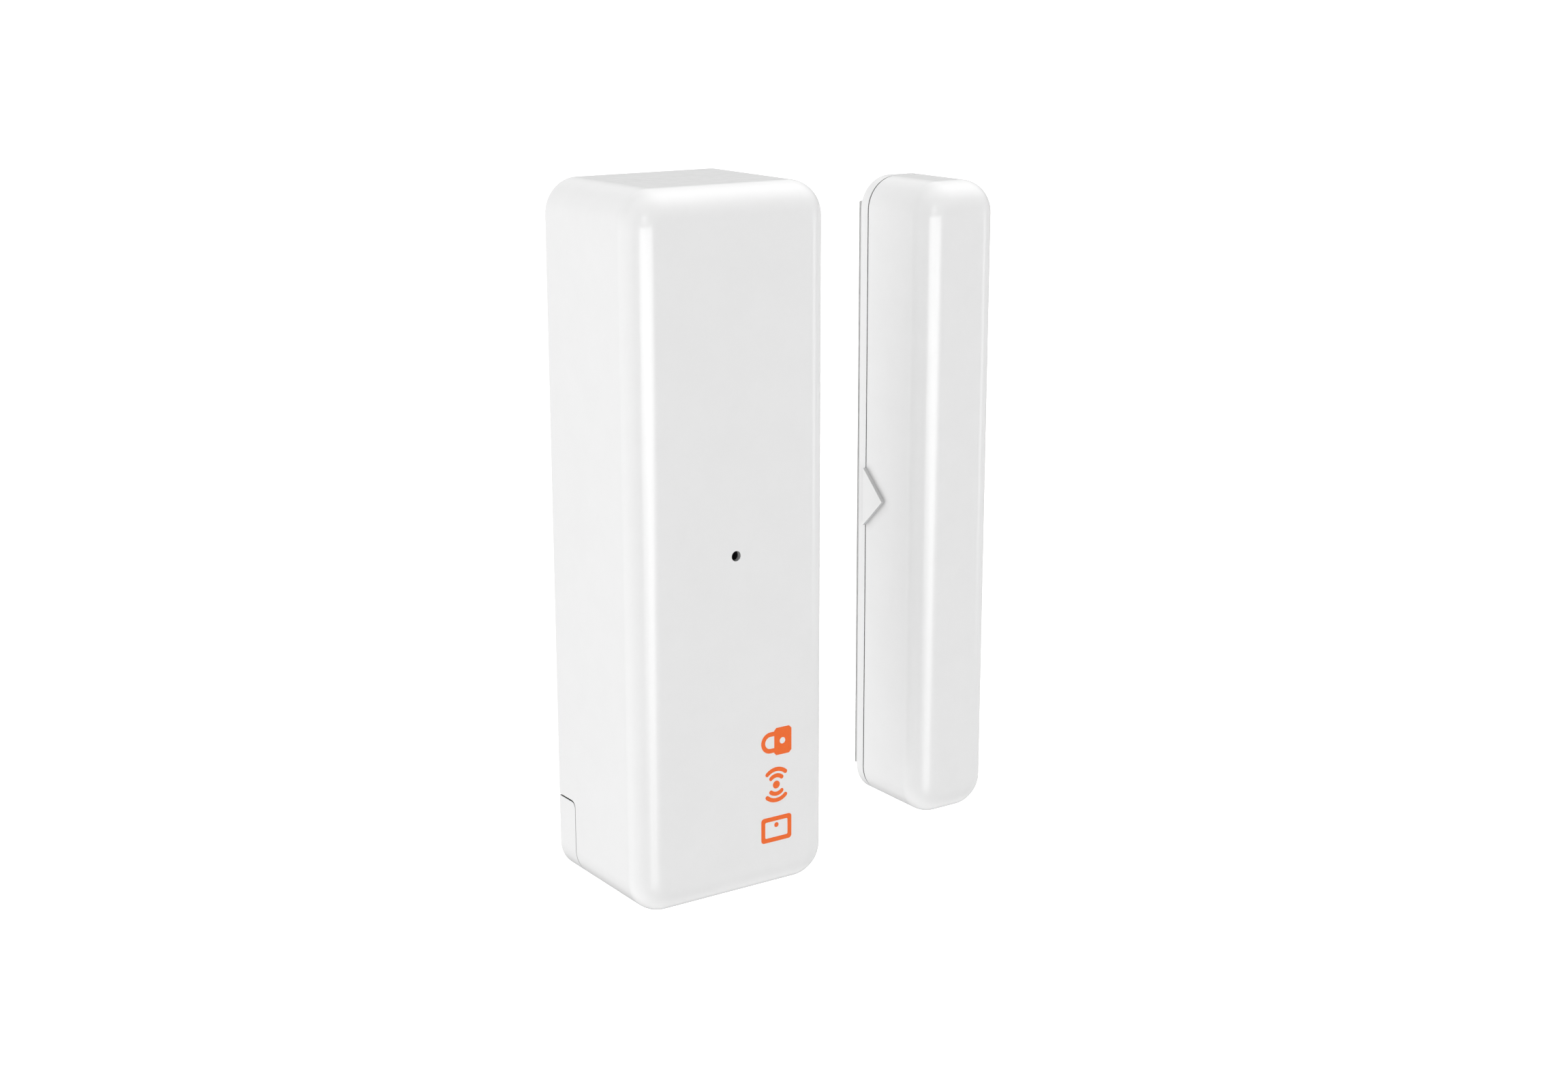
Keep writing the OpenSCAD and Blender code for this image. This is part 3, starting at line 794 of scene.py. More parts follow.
exact_normals(cover, [
    soft_field(sw, sh, CORNER_R, COVER[1][2], EDGE_R, scx, scy),
    soft_field(sw - 2 * WALL_S, sh - 2 * WALL_S, CORNER_R - WALL_S, COVER[1][2] - WALL_S, EDGE_R - WALL_S, scx, scy, -1.0)])
# painted seam shade on the notch faces that meet the lower block
paint(cover, 1, lambda c, n: c[1] < block_top + 0.25 and c[2] > block_front - 1.2 and c[2] < block_front + 0.1 and (n[2] < -0.05 or n[1] < -0.7) and abs(n[0]) < 0.3)
paint(cover, 1, lambda c, n: abs(c[1] - block_top - 0.18) < 0.01 and n[1] < -0.9)
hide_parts("front_cover")
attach(cover, "sensor_body")

# wall plate: a flat tray with side tongues, and the lower block that completes the housing
pl_hw, pl_top = 9.75, PLATE[1][1]
pl_r = 1.95
block = Shape()
rings_b = [outline(sw, sh, CORNER_R, z, scx, scy, seg=16) for z in (ZB, block_front)]
block.rings(rings_b, cap0=True, cap1=True)
plate = build(block, "sensor_wall_plate", HOUSING, weighted=False)
boolean(plate, [block_prism(block_top, block_front, 0.6, 14.0, ZB - 1.0, -40.0)], "INTERSECT")
slab = Shape()
w2 = 2 * pl_hw
pts = []
for i in range(13):
    a = math.radians(90 * i / 12)
    pts.append((pl_hw - pl_r + pl_r * math.cos(a), pl_top - pl_r + pl_r * math.sin(a)))
for i in range(13):
    a = math.radians(90 + 90 * i / 12)
    pts.append((-pl_hw + pl_r + pl_r * math.cos(a), pl_top - pl_r + pl_r * math.sin(a)))
pts += [(-pl_hw, block_top - 0.5), (pl_hw, block_top - 0.5)]
ejector = [[(cx + 1.5 * math.cos(2 * math.pi * i / 28), cy + 1.5 * math.sin(2 * math.pi * i / 28)) for i in range(28)]
           for cx in (-6.6, 6.6) for cy in (-21.0, 4.0, 28.5)]
slab_s = prism([pts], ZB, ZB + 2.0)
boolean(plate, [slab_s], "UNION")
tongues = []
for sgn in (-1, 1):
    xa, xb = (pl_hw - 0.3, pl_hw + 0.6)
    tl = [(xa, block_top - 0.3), (xb, block_top - 0.3), (xb, 30.6), (xb - 0.45, 31.5), (xa, 31.5)]
    tl = [(sgn * x, y) for x, y in tl]
    tongues.append(prism([tl], ZB + 0.9, ZB + 1.7))
    bmp = [(pl_hw + 0.5, -15.6), (pl_hw + 0.6, -15.6), (pl_hw + 0.7, -15.3), (pl_hw + 0.7, -14.7), (pl_hw + 0.6, -14.4), (pl_hw + 0.5, -14.4)]
    tongues.append(prism([[(sgn * x, y) for x, y in bmp]], ZB + 1.0, ZB + 1.6))
boolean(plate, tongues, "UNION")
# shallow moulded recesses and ejector-pin marks on the face that the cover hides
marks = []
for e in ejector:
    marks.append(prism([e], ZB + 1.94, ZB + 3.0))
for k in range(5):
    yc = -17.5 + k * 10.6
    marks.append(prism([[(x, y) for x, y, z in outline(8.6, 8.4, 0.8, 0, 0.0, yc, seg=5)]], ZB + 1.1, ZB + 3.0))
boolean(plate, marks)
exact_normals(plate, [soft_field(sw, sh, CORNER_R, block_front, 0.0, scx, scy),
                      lambda x, y, z: ((0.0, (y - (block_top - 0.6)) / 0.6, (z - (block_front - 0.6)) / 0.6)
                                       if y > block_top - 0.6 - 1e-4 and z > block_front - 0.6 - 1e-4 and abs(math.hypot(y - (block_top - 0.6), z - (block_front - 0.6)) - 0.6) < 0.004 else None),
                      lambda x, y, z: (((abs(x) - (pl_hw - pl_r)) / pl_r * (1 if x > 0 else -1), (y - (pl_top - pl_r)) / pl_r, 0.0)
                                       if abs(x) > pl_hw - pl_r - 1e-4 and y > pl_top - pl_r - 1e-4 and abs(math.hypot(abs(x) - (pl_hw - pl_r), y - (pl_top - pl_r)) - pl_r) < 0.004 else None)])
# painted seam shade on the lower block's faces inside the joint
paint(plate, 1, lambda c, n: c[1] < block_top + 0.02 and abs(n[0]) < 0.3 and (n[2] > 0.05 or n[1] > 0.3))
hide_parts("wall_plate")
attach(plate, "wall_plate")

# magnet cover with its alignment arrow and inner ribs
mshell, (mw, mh, mcx, mcy) = cover_shell(((MCOVER[1][0] - 10.0, MCOVER[0][1], MCOVER[0][2]), MCOVER[1]), WALL_M, CORNER_R, EDGE_R, lip=0.025)
mcover = build(mshell, "magnet_cover_shell", HOUSING, weighted=False)
mz0, mzf = MCOVER[0][2], MCOVER[1][2]
ay = mcy + 0.1
ax0 = MCOVER[0][0]


def arrow_shape():
    """Raised triangle on the left wall: its top is a hair smaller than its foot."""
    tri = [(mz0, ay + 3.2), (mz0, ay - 3.2), (5.75, ay)]
    c = (sum(t[0] for t in tri) / 3, sum(t[1] for t in tri) / 3)

    def inset(d):
        # moves the two slanted edges in by d; the rear edge stays on the cover's rim
        L = math.hypot(5.75 - mz0, 3.2)
        k = d * L / 3.2
        kk = d * L / (5.75 - mz0)
        return [(mz0, ay + 3.2 - kk), (mz0, ay - 3.2 + kk), (5.75 - k, ay)]

    s = Shape()
    lv = [(ax0 + 0.9, 0.0), (ax0 + 0.04, 0.0), (ax0 + 0.012, 0.012), (ax0, 0.04)]
    rings = [[(x, y, z) for z, y in inset(d)] for x, d in lv]
    s.rings(rings, cap0=True, cap1=True)
    return s


boolean(mcover, [arrow_shape()], "UNION")
ribs = []
for ry in (-12.0, 12.0):
    ribs.append(box_shape(mcx - 1.8, mcy + ry - 0.5, MBASE[0][2] + 1.25 + 6.0 + 0.2, mcx + 1.8, mcy + ry + 0.5, mzf - WALL_M + 0.15, b=0.0))
boolean(mcover, ribs, "UNION")
left_wall = lambda c, n: n[0] < -0.99 and c[0] < mcx
# the left wall is cut round the arrow so that the patch can take the painted corner shadow
split(mcover, [((0, ay + 5.0, 0), (0, 1, 0)), ((0, ay - 5.0, 0), (0, 1, 0)), ((0, 0, 7.6), (0, 0, 1))], left_wall)
# the rear faces are split at the wall's outer plane so that only the rim, not the arrow's foot, takes the painted seam
# shade
split(mcover, [((MCOVER[1][0] - 10.0, 0, 0), (1, 0, 0))], lambda c, n: n[2] < -0.9 and c[2] < mz0 + 0.01)
exact_normals(mcover, [
    soft_field(mw, mh, CORNER_R, mzf, EDGE_R, mcx, mcy),
    soft_field(mw - 2 * WALL_M, mh - 2 * WALL_M, CORNER_R - WALL_M, mzf - WALL_M, EDGE_R - WALL_M, mcx, mcy, -1.0)])
# painted seam shade on the rear rim
paint(mcover, 1, lambda c, n: c[2] < mz0 + 0.03 and n[2] < -0.5 and c[0] > MCOVER[1][0] - 10.0)
# painted corner shadow on the wall beside the arrow
paint(mcover, 4, lambda c, n: n[0] < -0.99 and abs(c[0] - MCOVER[1][0] + 10.0) < 0.01 and abs(c[1] - ay) < 5.0 and c[2] < 7.6)
# painted shade on the arrow's flanks
paint(mcover, 5, lambda c, n: ax0 + 0.05 < c[0] < MCOVER[1][0] - 9.99 and abs(n[0]) < 0.3 and abs(c[1] - ay) < 3.4 and c[2] > mz0 + 0.05)
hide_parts("magnet_cover")
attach(mcover, "magnet_cover")

# magnet base: plate with softened edges, locating rim, cradle and snap ridges
bz0, bz1 = MBASE[0][2], MBASE[0][2] + 1.25
base = Shape()
lip, edge = 0.10, 0.03
prof = [(lip, bz0), (0.03, bz0 + 0.03), (0.0, bz0 + lip), (0.0, bz1 - edge), (0.009, bz1 - 0.009), (edge, bz1)]
rings_m = [outline(mw - 2 * i, mh - 2 * i, CORNER_R - i, z, mcx, mcy, seg=16) for i, z in prof]
base.rings(rings_m, cap0=True, cap1=True)
mbase = build(base, "magnet_base_plate", HOUSING, weighted=False)
rim_w, rim_h, rim_r, rim_t = mw - 2 * WALL_M - 0.3, mh - 2 * WALL_M - 0.3, CORNER_R - WALL_M - 0.15, 0.9
o2 = [(x, y) for x, y, z in outline(rim_w, rim_h, rim_r, 0, mcx, mcy, seg=12)]
i2 = [(x, y) for x, y, z in outline(rim_w - 2 * rim_t, rim_h - 2 * rim_t, rim_r - rim_t, 0, mcx, mcy, seg=12)]
adds = [prism([o2, i2], bz1 - 0.3, bz1 + 1.6)]
for sgn in (-1, 1):
    xa, xb = sorted((mcx + sgn * 2.6, mcx + sgn * rim_w / 2))
    adds.append(box_shape(xa, mcy - 22, bz1 - 0.3, xb, mcy + 22, bz1 + 4, b=0.0))
    ya, yb = sorted((mcy + sgn * 20.1, mcy + sgn * 21.3))
    adds.append(box_shape(mcx - 2.7, ya, bz1 - 0.3, mcx + 2.7, yb, bz1 + 3, b=0.0))
    for yy in (-27.0, 27.0):
        xa, xb = sorted((mcx + sgn * (rim_w / 2 - 0.2), mcx + sgn * (rim_w / 2 + 0.1)))
        adds.append(box_shape(xa, mcy + yy - 2.5, bz1 + 0.9, xb, mcy + yy + 2.5, bz1 + 1.2, b=0.0))
boolean(mbase, adds, "UNION")
# the base's left side is cut beside the arrow for the painted corner shadow
split(mbase, [((0, ay + 5.0, 0), (0, 1, 0)), ((0, ay - 5.0, 0), (0, 1, 0))], lambda c, n: n[0] < -0.5 and c[0] < mcx - 4.5)
exact_normals(mbase, [soft_field(mw, mh, CORNER_R, bz1, 0.0, mcx, mcy), soft_field(rim_w, rim_h, rim_r, bz1 + 1.6, 0.0, mcx, mcy)])
# painted seam shade on the base's face where the cover sits
paint(mbase, 1, lambda c, n: c[2] > bz1 - 0.05 and n[2] > 0.6 and c[2] < bz1 + 0.1)
# painted corner shadow on the base's side beside the arrow
paint(mbase, 4, lambda c, n: n[0] < -0.5 and c[0] < mcx - 4.5 and abs(c[1] - ay) < 5.0)
# painted seam shade on the locating rim's walls
paint(mbase, 1, lambda c, n: bz1 < c[2] < bz1 + 1.59 and abs(n[2]) < 0.1 and (abs(c[0] - mcx) > rim_w / 2 - rim_r - 0.02 or abs(c[1] - mcy) > rim_h / 2 - rim_r - 0.02))
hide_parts("magnet_base")
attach(mbase, "magnet_base")


# foam pads: a cut strip of closed-cell foam between two thin adhesive films
def foam_pad(name, box, body, node, seed):
    (x0, y0, z0), (x1, y1, z1) = box
    rnd = random.Random(seed)
    w, h = x1 - x0, y1 - y0
    cx, cy = (x0 + x1) / 2, (y0 + y1) / 2
    step = 0.45
    film = 0.05

    def edge_points(ins, z, amp):
        pts = outline(w - 2 * ins, h - 2 * ins, 0.12, z, cx, cy, seg=3)
        out = []
        for i, p in enumerate(pts):
            q = pts[(i + 1) % len(pts)]
            L = math.hypot(q[0] - p[0], q[1] - p[1])
            n = max(1, int(L / step))
            for k in range(n):
                t = k / n
                out.append((p[0] + (q[0] - p[0]) * t, p[1] + (q[1] - p[1]) * t, z))
        return out

    base_ring = edge_points(0.0, z0, 0)
    n = len(base_ring)
    levels = [(z0, 0.0), (z0 + film, 0.0), (z0 + film + 0.01, 0.05), (z0 + 0.2, 0.09), (z0 + 0.4, 0.11), (z0 + 0.6, 0.11), (z1 - 0.2, 0.08), (z1 - film - 0.01, 0.05), (z1 - film, 0.0), (z1, 0.0)]
    low = [rnd.uniform(0, 1) for _ in range(n)]
    smooth = [(low[i - 2] + 2 * low[i - 1] + 3 * low[i] + 2 * low[(i + 1) % n] + low[(i + 2) % n]) / 9 for i in range(n)]
    rings = []
    for z, ins in levels:
        ring = []
        for i, p in enumerate(base_ring):
            d = Vector((cx - p[0], 0)) if abs(p[0] - cx) > w / 2 - 0.5 else Vector((0, cy - p[1]))
            if abs(p[0] - cx) > w / 2 - 0.5 and abs(p[1] - cy) > h / 2 - 0.5:
                d = Vector((cx - p[0], (cy - p[1]) * abs(cx - p[0]) / max(abs(cy - p[1]), 1e-6)))
            d.normalize()
            k = ins * (0.55 + 0.9 * smooth[i]) + (0.025 * rnd.random() if ins > 0 else 0.0)
            ring.append((p[0] + d.x * k, p[1] + d.y * k, z))
        rings.append(ring)
    s = Shape()
    s.rings(rings[:2], mat=1)
    s.rings(rings[1:-1], mat=0)
    s.rings(rings[-2:], mat=1)
    s.flat([rings[0]], False, 1)
    s.flat([rings[-1]], True, 1)
    ob = build(s, name, [FOAM, FILM], sharp=50)
    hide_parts(node)
    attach(ob, body)
    return ob


foam_pad("sensor_foam_pad", PAD_S, "wall_plate", "sensor_adhesive_pad", 5)
foam_pad("magnet_foam_pad", PAD_M, "magnet_base", "magnet_adhesive_pad", 9)


# the printed mark: three plain pictograms in a column, reading upwards
def disc2(cx, cy, r, n=28):
    return [(cx + r * math.cos(2 * math.pi * i / n), cy + r * math.sin(2 * math.pi * i / n)) for i in range(n)]


def arc_band(cx, cy, r, half_w, a0, a1, n=26):
    """A curved stroke with round ends."""
    pts = []
    for i in range(n + 1):
        a = math.radians(a0 + (a1 - a0) * i / n)
        pts.append((cx + (r + half_w) * math.cos(a), cy + (r + half_w) * math.sin(a)))
    e = math.radians(a1)
    for i in range(1, 8):
        b = e + math.pi * i / 8
        pts.append((cx + r * math.cos(e) + half_w * math.cos(b), cy + r * math.sin(e) + half_w * math.sin(b)))
    for i in range(n + 1):
        a = math.radians(a1 + (a0 - a1) * i / n)
        pts.append((cx + (r - half_w) * math.cos(a), cy + (r - half_w) * math.sin(a)))
    e = math.radians(a0)
    for i in range(1, 8):
        b = e + math.pi + math.pi * i / 8
        pts.append((cx + r * math.cos(e) + half_w * math.cos(b), cy + r * math.sin(e) + half_w * math.sin(b)))
    return pts


def rrect2(cx, cy, w, h, r, seg=6):
    return [(x, y) for x, y, z in outline(w, h, r, 0, cx, cy, seg=seg)]


def pictograms():
    """Drawn upright in local (u, v): u along the row, v up; then turned a quarter."""
    t = 0.24
    plates = []
    # a door leaf in its frame, with a knob
    plates.append([rrect2(0.0, 0.0, 2.7, 3.7, 0.35), rrect2(0.0, 0.0, 2.7 - 4 * t, 3.7 - 4 * t, 0.15)])
    plates.append([disc2(0.42, 0.0, 0.26)])
    # a sender: a dot with two pairs of arcs
    cx = 4.75
    plates.append([disc2(cx, 0.0, 0.42)])
    for r_ in (0.98, 1.66):
        plates.append([arc_band(cx, 0.0, r_, t * 0.92, -42, 42)])
        plates.append([arc_band(cx, 0.0, r_, t * 0.92, 138, 222)])
    # a padlock
    cx = 9.35
    bw, top, bot, ro, ri = 2.9, 0.25, -1.85, 1.12, 0.64
    out = [(cx + bw / 2 - 0.3, bot), (cx + bw / 2, bot + 0.3), (cx + bw / 2, top - 0.25), (cx + bw / 2 - 0.25, top), (cx + ro, top)]
    out += [(cx + ro * math.cos(math.radians(a)), 0.72 + ro * math.sin(math.radians(a))) for a in range(0, 181, 10)]
    out += [(cx - ro, top), (cx - bw / 2 + 0.25, top), (cx - bw / 2, top - 0.25), (cx - bw / 2, bot + 0.3), (cx - bw / 2 + 0.3, bot)]
    hole = [(cx + ri, top), ] + [(cx + ri * math.cos(math.radians(a)), 0.72 + ri * math.sin(math.radians(a))) for a in range(0, 181, 12)] + [(cx - ri, top)]
    plates.append([out, hole, disc2(cx, -0.75, 0.34)])
    return plates


mark = Shape()
zf = COVER[1][2]
for loops in pictograms():
    # quarter turn anticlockwise: u runs up, v runs to the left; the row starts low on the front
    turned_loops = [[(4.7 - v, -29.4 + u) for u, v in lp] for lp in loops]
    mark.join(prism(turned_loops, zf - 0.004, zf + 0.014))
pm = build(mark, "printed_pictograms", [INK], sharp=30)
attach(pm, "sensor_body")

# ---------------------------------------------------------------- circuit board and its parts
BZ = BOARD[0][2]          # component face, towards the wall
BF = BOARD[1][2]          # face towards the front


def smooth_group():
    g = bpy.data.node_groups.get("smooth_faces")
    if g:
        return g
    g = bpy.data.node_groups.new("smooth_faces", "GeometryNodeTree")
    g.interface.new_socket("Geometry", in_out="INPUT", socket_type="NodeSocketGeometry")
    g.interface.new_socket("Geometry", in_out="OUTPUT", socket_type="NodeSocketGeometry")
    i, o = g.nodes.new("NodeGroupInput"), g.nodes.new("NodeGroupOutput")
    s = g.nodes.new("GeometryNodeSetShadeSmooth")
    g.links.new(i.outputs[0], s.inputs[0])
    g.links.new(s.outputs[0], o.inputs[0])
    return g


def cad(node, material, bevel=0.05, seg=2, angle=35):
    """Keeps a CAD node and gives it its finish and softened edges."""
    ob = NODES[node]
    if ob.data.materials:
        for i in range(len(ob.data.materials)):
            ob.data.materials[i] = material
    else:
        ob.data.materials.append(material)
    w = ob.modifiers.new("weld", "WELD")
    w.merge_threshold = 2e-6
    if bevel:
        b = ob.modifiers.new("edges", "BEVEL")
        b.width = bevel * 1e-3
        b.segments = seg
        b.limit_method = "ANGLE"
        b.angle_limit = math.radians(angle)
        b.use_clamp_overlap = True
    g = ob.modifiers.new("smooth", "NODES")
    g.node_group = smooth_group()
    wn = ob.modifiers.new("weighted", "WEIGHTED_NORMAL")
    wn.mode = "FACE_AREA"
    return ob


def add(shape, name, mats, body, slot_name, replaced=(), **kw):
    ob = build(shape, name, mats, **kw)
    if replaced:
        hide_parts(*replaced)
    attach(ob, body)
    return ob


cad("circuit_board", MASK, 0.06)


def ribbon(points, width, z, t=0.018):
    """A flat copper track under the mask, on the component face."""
    s = Shape()
    pts = [Vector((x, y)) for x, y in points]
    left, right = [], []
    for i, p in enumerate(pts):
        d0 = (p - pts[i - 1]).normalized() if i > 0 else None
        d1 = (pts[i + 1] - p).normalized() if i < len(pts) - 1 else None
        d = ((d0 or d1) + (d1 or d0)).normalized()
        n = Vector((-d.y, d.x))
        k = 1.0 / max(0.5, n.dot(Vector((-(d1 or d0).y, (d1 or d0).x))))
        left.append(p + n * width / 2 * k)
        right.append(p - n * width / 2 * k)
    zt, zb = z - t, z + 0.002
    for i in range(len(pts) - 1):
        a, b, c, d = left[i], left[i + 1], right[i + 1], right[i]
        v = [(a.x, a.y, zt), (b.x, b.y, zt), (c.x, c.y, zt), (d.x, d.y, zt), (a.x, a.y, zb), (b.x, b.y, zb), (c.x, c.y, zb), (d.x, d.y, zb)]
        s.add(v, [(0, 1, 2, 3), (7, 6, 5, 4), (0, 4, 5, 1), (2, 6, 7, 3), (1, 5, 6, 2), (3, 7, 4, 0)])
    return s


tracks = Shape()
for pts, wd in (
    ([(-3.6, 7.8), (-3.6, 9.4), (-7.0, 9.4), (-7.0, 11.0)], 0.5),
    ([(-3.6, 9.4), (2.9, 9.4), (2.9, 8.4)], 0.5),
    ([(4.4, 8.4), (7.0, 8.4), (7.0, 9.1)], 0.3),
    ([(4.4, 11.0), (5.4, 11.0), (5.4, 15.2), (5.8, 16.0)], 0.4),
    ([(2.8, 11.0), (1.0, 11.0), (1.0, 14.4)], 0.3),
    ([(-1.0, 11.6), (-0.2, 11.6), (-0.2, 13.6), (-1.5, 14.6)], 0.3),
    ([(-6.2, 11.6), (-5.3, 11.6)], 0.3),
    ([(-3.7, 11.6), (-2.6, 11.6)], 0.3),
    ([(4.4, 5.8), (5.6, 5.8), (5.6, -8.2), (7.0, -9.1)], 0.3),
    ([(4.4, 1.2), (5.2, 1.2), (5.2, -4.6), (4.4, -4.6)], 0.3),
    ([(2.8, -1.6), (2.4, -2.2), (2.4, -9.0), (3.2, -9.6)], 0.3),
    ([(3.0, -11.5), (2.4, -12.2), (2.4, -24.6), (-2.0, -25.2)], 0.6),
    ([(5.2, -10.5), (6.0, -11.4), (6.0, -14.8)], 0.5),
    ([(6.0, -20.0), (6.0, -24.0), (3.0, -27.0), (-3.6, -27.4)], 0.6),
    ([(-3.6, -27.4), (-5.6, -28.6), (-6.2, -29.6)], 0.4),
    ([(-1.6, -29.8), (0.6, -29.6)], 0.3),
    ([(-6.4, 19.0), (-7.6, 20.4), (-7.6, 26.0), (-5.0, 27.4)], 0.3),
    ([(-2.4, 19.0), (-1.6, 20.6), (0.8, 21.0)], 0.3),
    ([(2.4, 21.0), (3.0, 22.0), (3.0, 30.4), (5.2, 31.0)], 0.4),
    ([(-2.3, 29.6), (-5.0, 29.2)], 0.3),
    ([(8.7, -28.0), (8.7, 28.0)], 0.5),
    ([(-8.75, 5.0), (-8.75, 28.0)], 0.5),
):
    tracks.join(ribbon(pts, wd, BZ))
for vx, vy in ((5.4, 13.0), (-0.2, 13.0), (2.4, -6.0), (5.6, 0.0), (8.7, 20.0), (8.7, -6.0), (8.7, -22.0), (-8.75, 14.0), (-7.6, 23.0), (3.0, 26.0), (2.4, -18.0)):
    tracks.join(lathe([(0.0, -0.02), (0.22, -0.02), (0.24, 0.0), (0.36, 0.0), (0.40, 0.008), (0.40, 0.03), (0.0, 0.03)], (vx, vy, BZ), (0, 0, 1), 20))
add(tracks, "board_tracks", [TRACE], "sensor_body", "board_laminate", sharp=30)

# bare pads under every soldered part, and fillets of solder
pads = Shape()


def pad_rect(x, y, w, h, z=BZ, side=-1):
    """A bare tinned pad standing 0.03 mm off the board."""
    z0, z1 = (z - 0.03, z + 0.002) if side < 0 else (z - 0.002, z + 0.03)
    pads.join(box_shape(x - w / 2, y - h / 2, z0, x + w / 2, y + h / 2, z1, b=0.01, seg=1))


def fillet(x, y, w, h, height, towards, z=BZ):
    """A small wedge of solder against a part's end; towards is the x direction of the part."""
    s = Shape()
    n = 6
    prof = []
    for i in range(n + 1):
        t = i / n
        prof.append((t, (1 - math.cos(t * math.pi / 2)) ** 1.0))
    rings = []
    for t, k in prof:
        xx = x - towards * w / 2 + towards * w * t
        zz = z - 0.03 - height * (k ** 1.4)
        hh = h / 2 * (0.82 + 0.18 * math.sin(t * math.pi / 2))
        rings.append([(xx, y - hh, z - 0.01), (xx, y + hh, z - 0.01), (xx, y + hh * 0.86, zz), (xx, y - hh * 0.86, zz)])
    s.rings(rings, cap0=True, cap1=True)
    pads.join(s)


res_at = [(3.6, 11), (3.6, 8.4), (3.6, 1.2), (3.6, -4.6), (-7, 11.6), (-4.5, 11.6), (-1.5, 29.6), (1.4, -29.6)]
cap_at = [(3.6, 5.8), (3.6, -1.6), (-1.8, 11.6), (-5.6, -29.8), (-2.4, -29.8), (1.6, 21)]
resistors, caps = Shape(), Shape()
for x, y in res_at:
    resistors.join(box_shape(x - 0.62, y - 0.4, BZ - 0.43, x + 0.62, y + 0.4, BZ - 0.03, b=0.03, seg=1, mat=1))
    resistors.join(box_shape(x - 0.5, y - 0.34, BZ - 0.45, x + 0.5, y + 0.34, BZ - 0.40, b=0.02, seg=1, mat=0))
    for sg in (-1, 1):
        a, b = sorted((x + sg * 0.55, x + sg * 0.8))
        resistors.join(box_shape(a, y - 0.4, BZ - 0.45, b, y + 0.4, BZ - 0.02, b=0.04, seg=2, mat=2))
        pad_rect(x + sg * 0.9, y, 0.75, 1.0)
        fillet(x + sg * 0.98, y, 0.38, 0.8, 0.26, -sg)
for x, y in cap_at:
    caps.join(box_shape(x - 0.6, y - 0.39, BZ - 0.69, x + 0.6, y + 0.39, BZ - 0.02, b=0.05, seg=2, mat=0))
    for sg in (-1, 1):
        a, b = sorted((x + sg * 0.5, x + sg * 0.8))
        caps.join(box_shape(a, y - 0.4, BZ - 0.7, b, y + 0.4, BZ - 0.01, b=0.06, seg=2, mat=1))
        pad_rect(x + sg * 0.9, y, 0.75, 1.0)
        fillet(x + sg * 0.98, y, 0.38, 0.8, 0.4, -sg)
add(resistors, "resistor_chips", [RESBODY, CERAMIC, TIN], "sensor_body", "resistor_ceramic", ("smd_resistors",))
add(caps, "capacitor_chips", [CAPCER, TIN], "sensor_body", "capacitor_ceramic", ("smd_capacitors",))

# radio chip: body with a parting line, a pin mark and eight formed legs
chip = Shape()
cxx, cyy = -4.5, 16.5
zt, zb_ = BZ - 1.5, BZ - 0.1
mid = (zt + zb_) / 2
rings_c = []
for ins, z in ((0.22, zt), (0.16, zt + 0.03), (0.0, mid - 0.02), (0.0, mid + 0.02), (0.14, zb_ - 0.03), (0.2, zb_)):
    rings_c.append(list(reversed(outline(3.9 - 2 * ins, 4.9 - 2 * ins, 0.12, z, cxx, cyy, seg=3))))
chip.rings(rings_c[1:], cap1=True)
dot = circle(cxx - 1.2, cyy + 1.7, zt, 0.28, 24)
chip.flat([list(reversed(rings_c[0])), dot], False)
chip.rings(rings_c[:2])
dz = zt + 0.08
chip.rings([list(reversed(dot)), list(reversed(circle(cxx - 1.2, cyy + 1.7, dz, 0.24, 24)))][::-1])
chip.flat([circle(cxx - 1.2, cyy + 1.7, dz, 0.24, 24)], False)
add(chip, "radio_chip_body", [EPOXY], "sensor_body", "chip_resin", ("radio_chip",))
legs = Shape()
for sg in (-1, 1):
    for i in range(4):
        y = cyy + (i - 1.5) * 1.27
        x0 = cxx + sg * 1.9
        path = [(x0, mid), (x0 + sg * 0.28, mid), (x0 + sg * 0.40, mid + 0.06), (x0 + sg * 0.46, mid + 0.2), (x0 + sg * 0.50, BZ - 0.28), (x0 + sg * 0.58, BZ - 0.13), (x0 + sg * 0.72, BZ - 0.09), (x0 + sg * 1.05, BZ - 0.08)]
        rings_l = []
        for k, (px, pz) in enumerate(path):
            a = path[max(k - 1, 0)]
            b = path[min(k + 1, len(path) - 1)]
            d = Vector((b[0] - a[0], b[1] - a[1])).normalized()
            nn = Vector((-d.y, d.x)) * 0.085
            rings_l.append([(px + nn.x, y - 0.2, pz + nn.y), (px + nn.x, y + 0.2, pz + nn.y), (px - nn.x, y + 0.2, pz - nn.y), (px - nn.x, y - 0.2, pz - nn.y)])
        legs.rings(rings_l, cap0=True, cap1=True)
        pad_rect(x0 + sg * 0.95, y, 0.9, 0.6)
add(legs, "radio_chip_leads", [TIN], "sensor_body", "tinned_copper", ("radio_chip_legs",), sharp=40)

# crystal: an oval drawn can with a flange
cr = Shape()
kx, ky = -3.4, 24.5


def oval(ins, z, n=20):
    r = 2.2 - ins
    pts = []
    for i in range(n + 1):
        a = math.radians(-90 + 180 * i / n)
        pts.append((kx + 3.2 + r * math.cos(a), ky + r * math.sin(a), z))
    for i in range(n + 1):
        a = math.radians(90 + 180 * i / n)
        pts.append((kx - 3.2 + r * math.cos(a), ky + r * math.sin(a), z))
    return pts


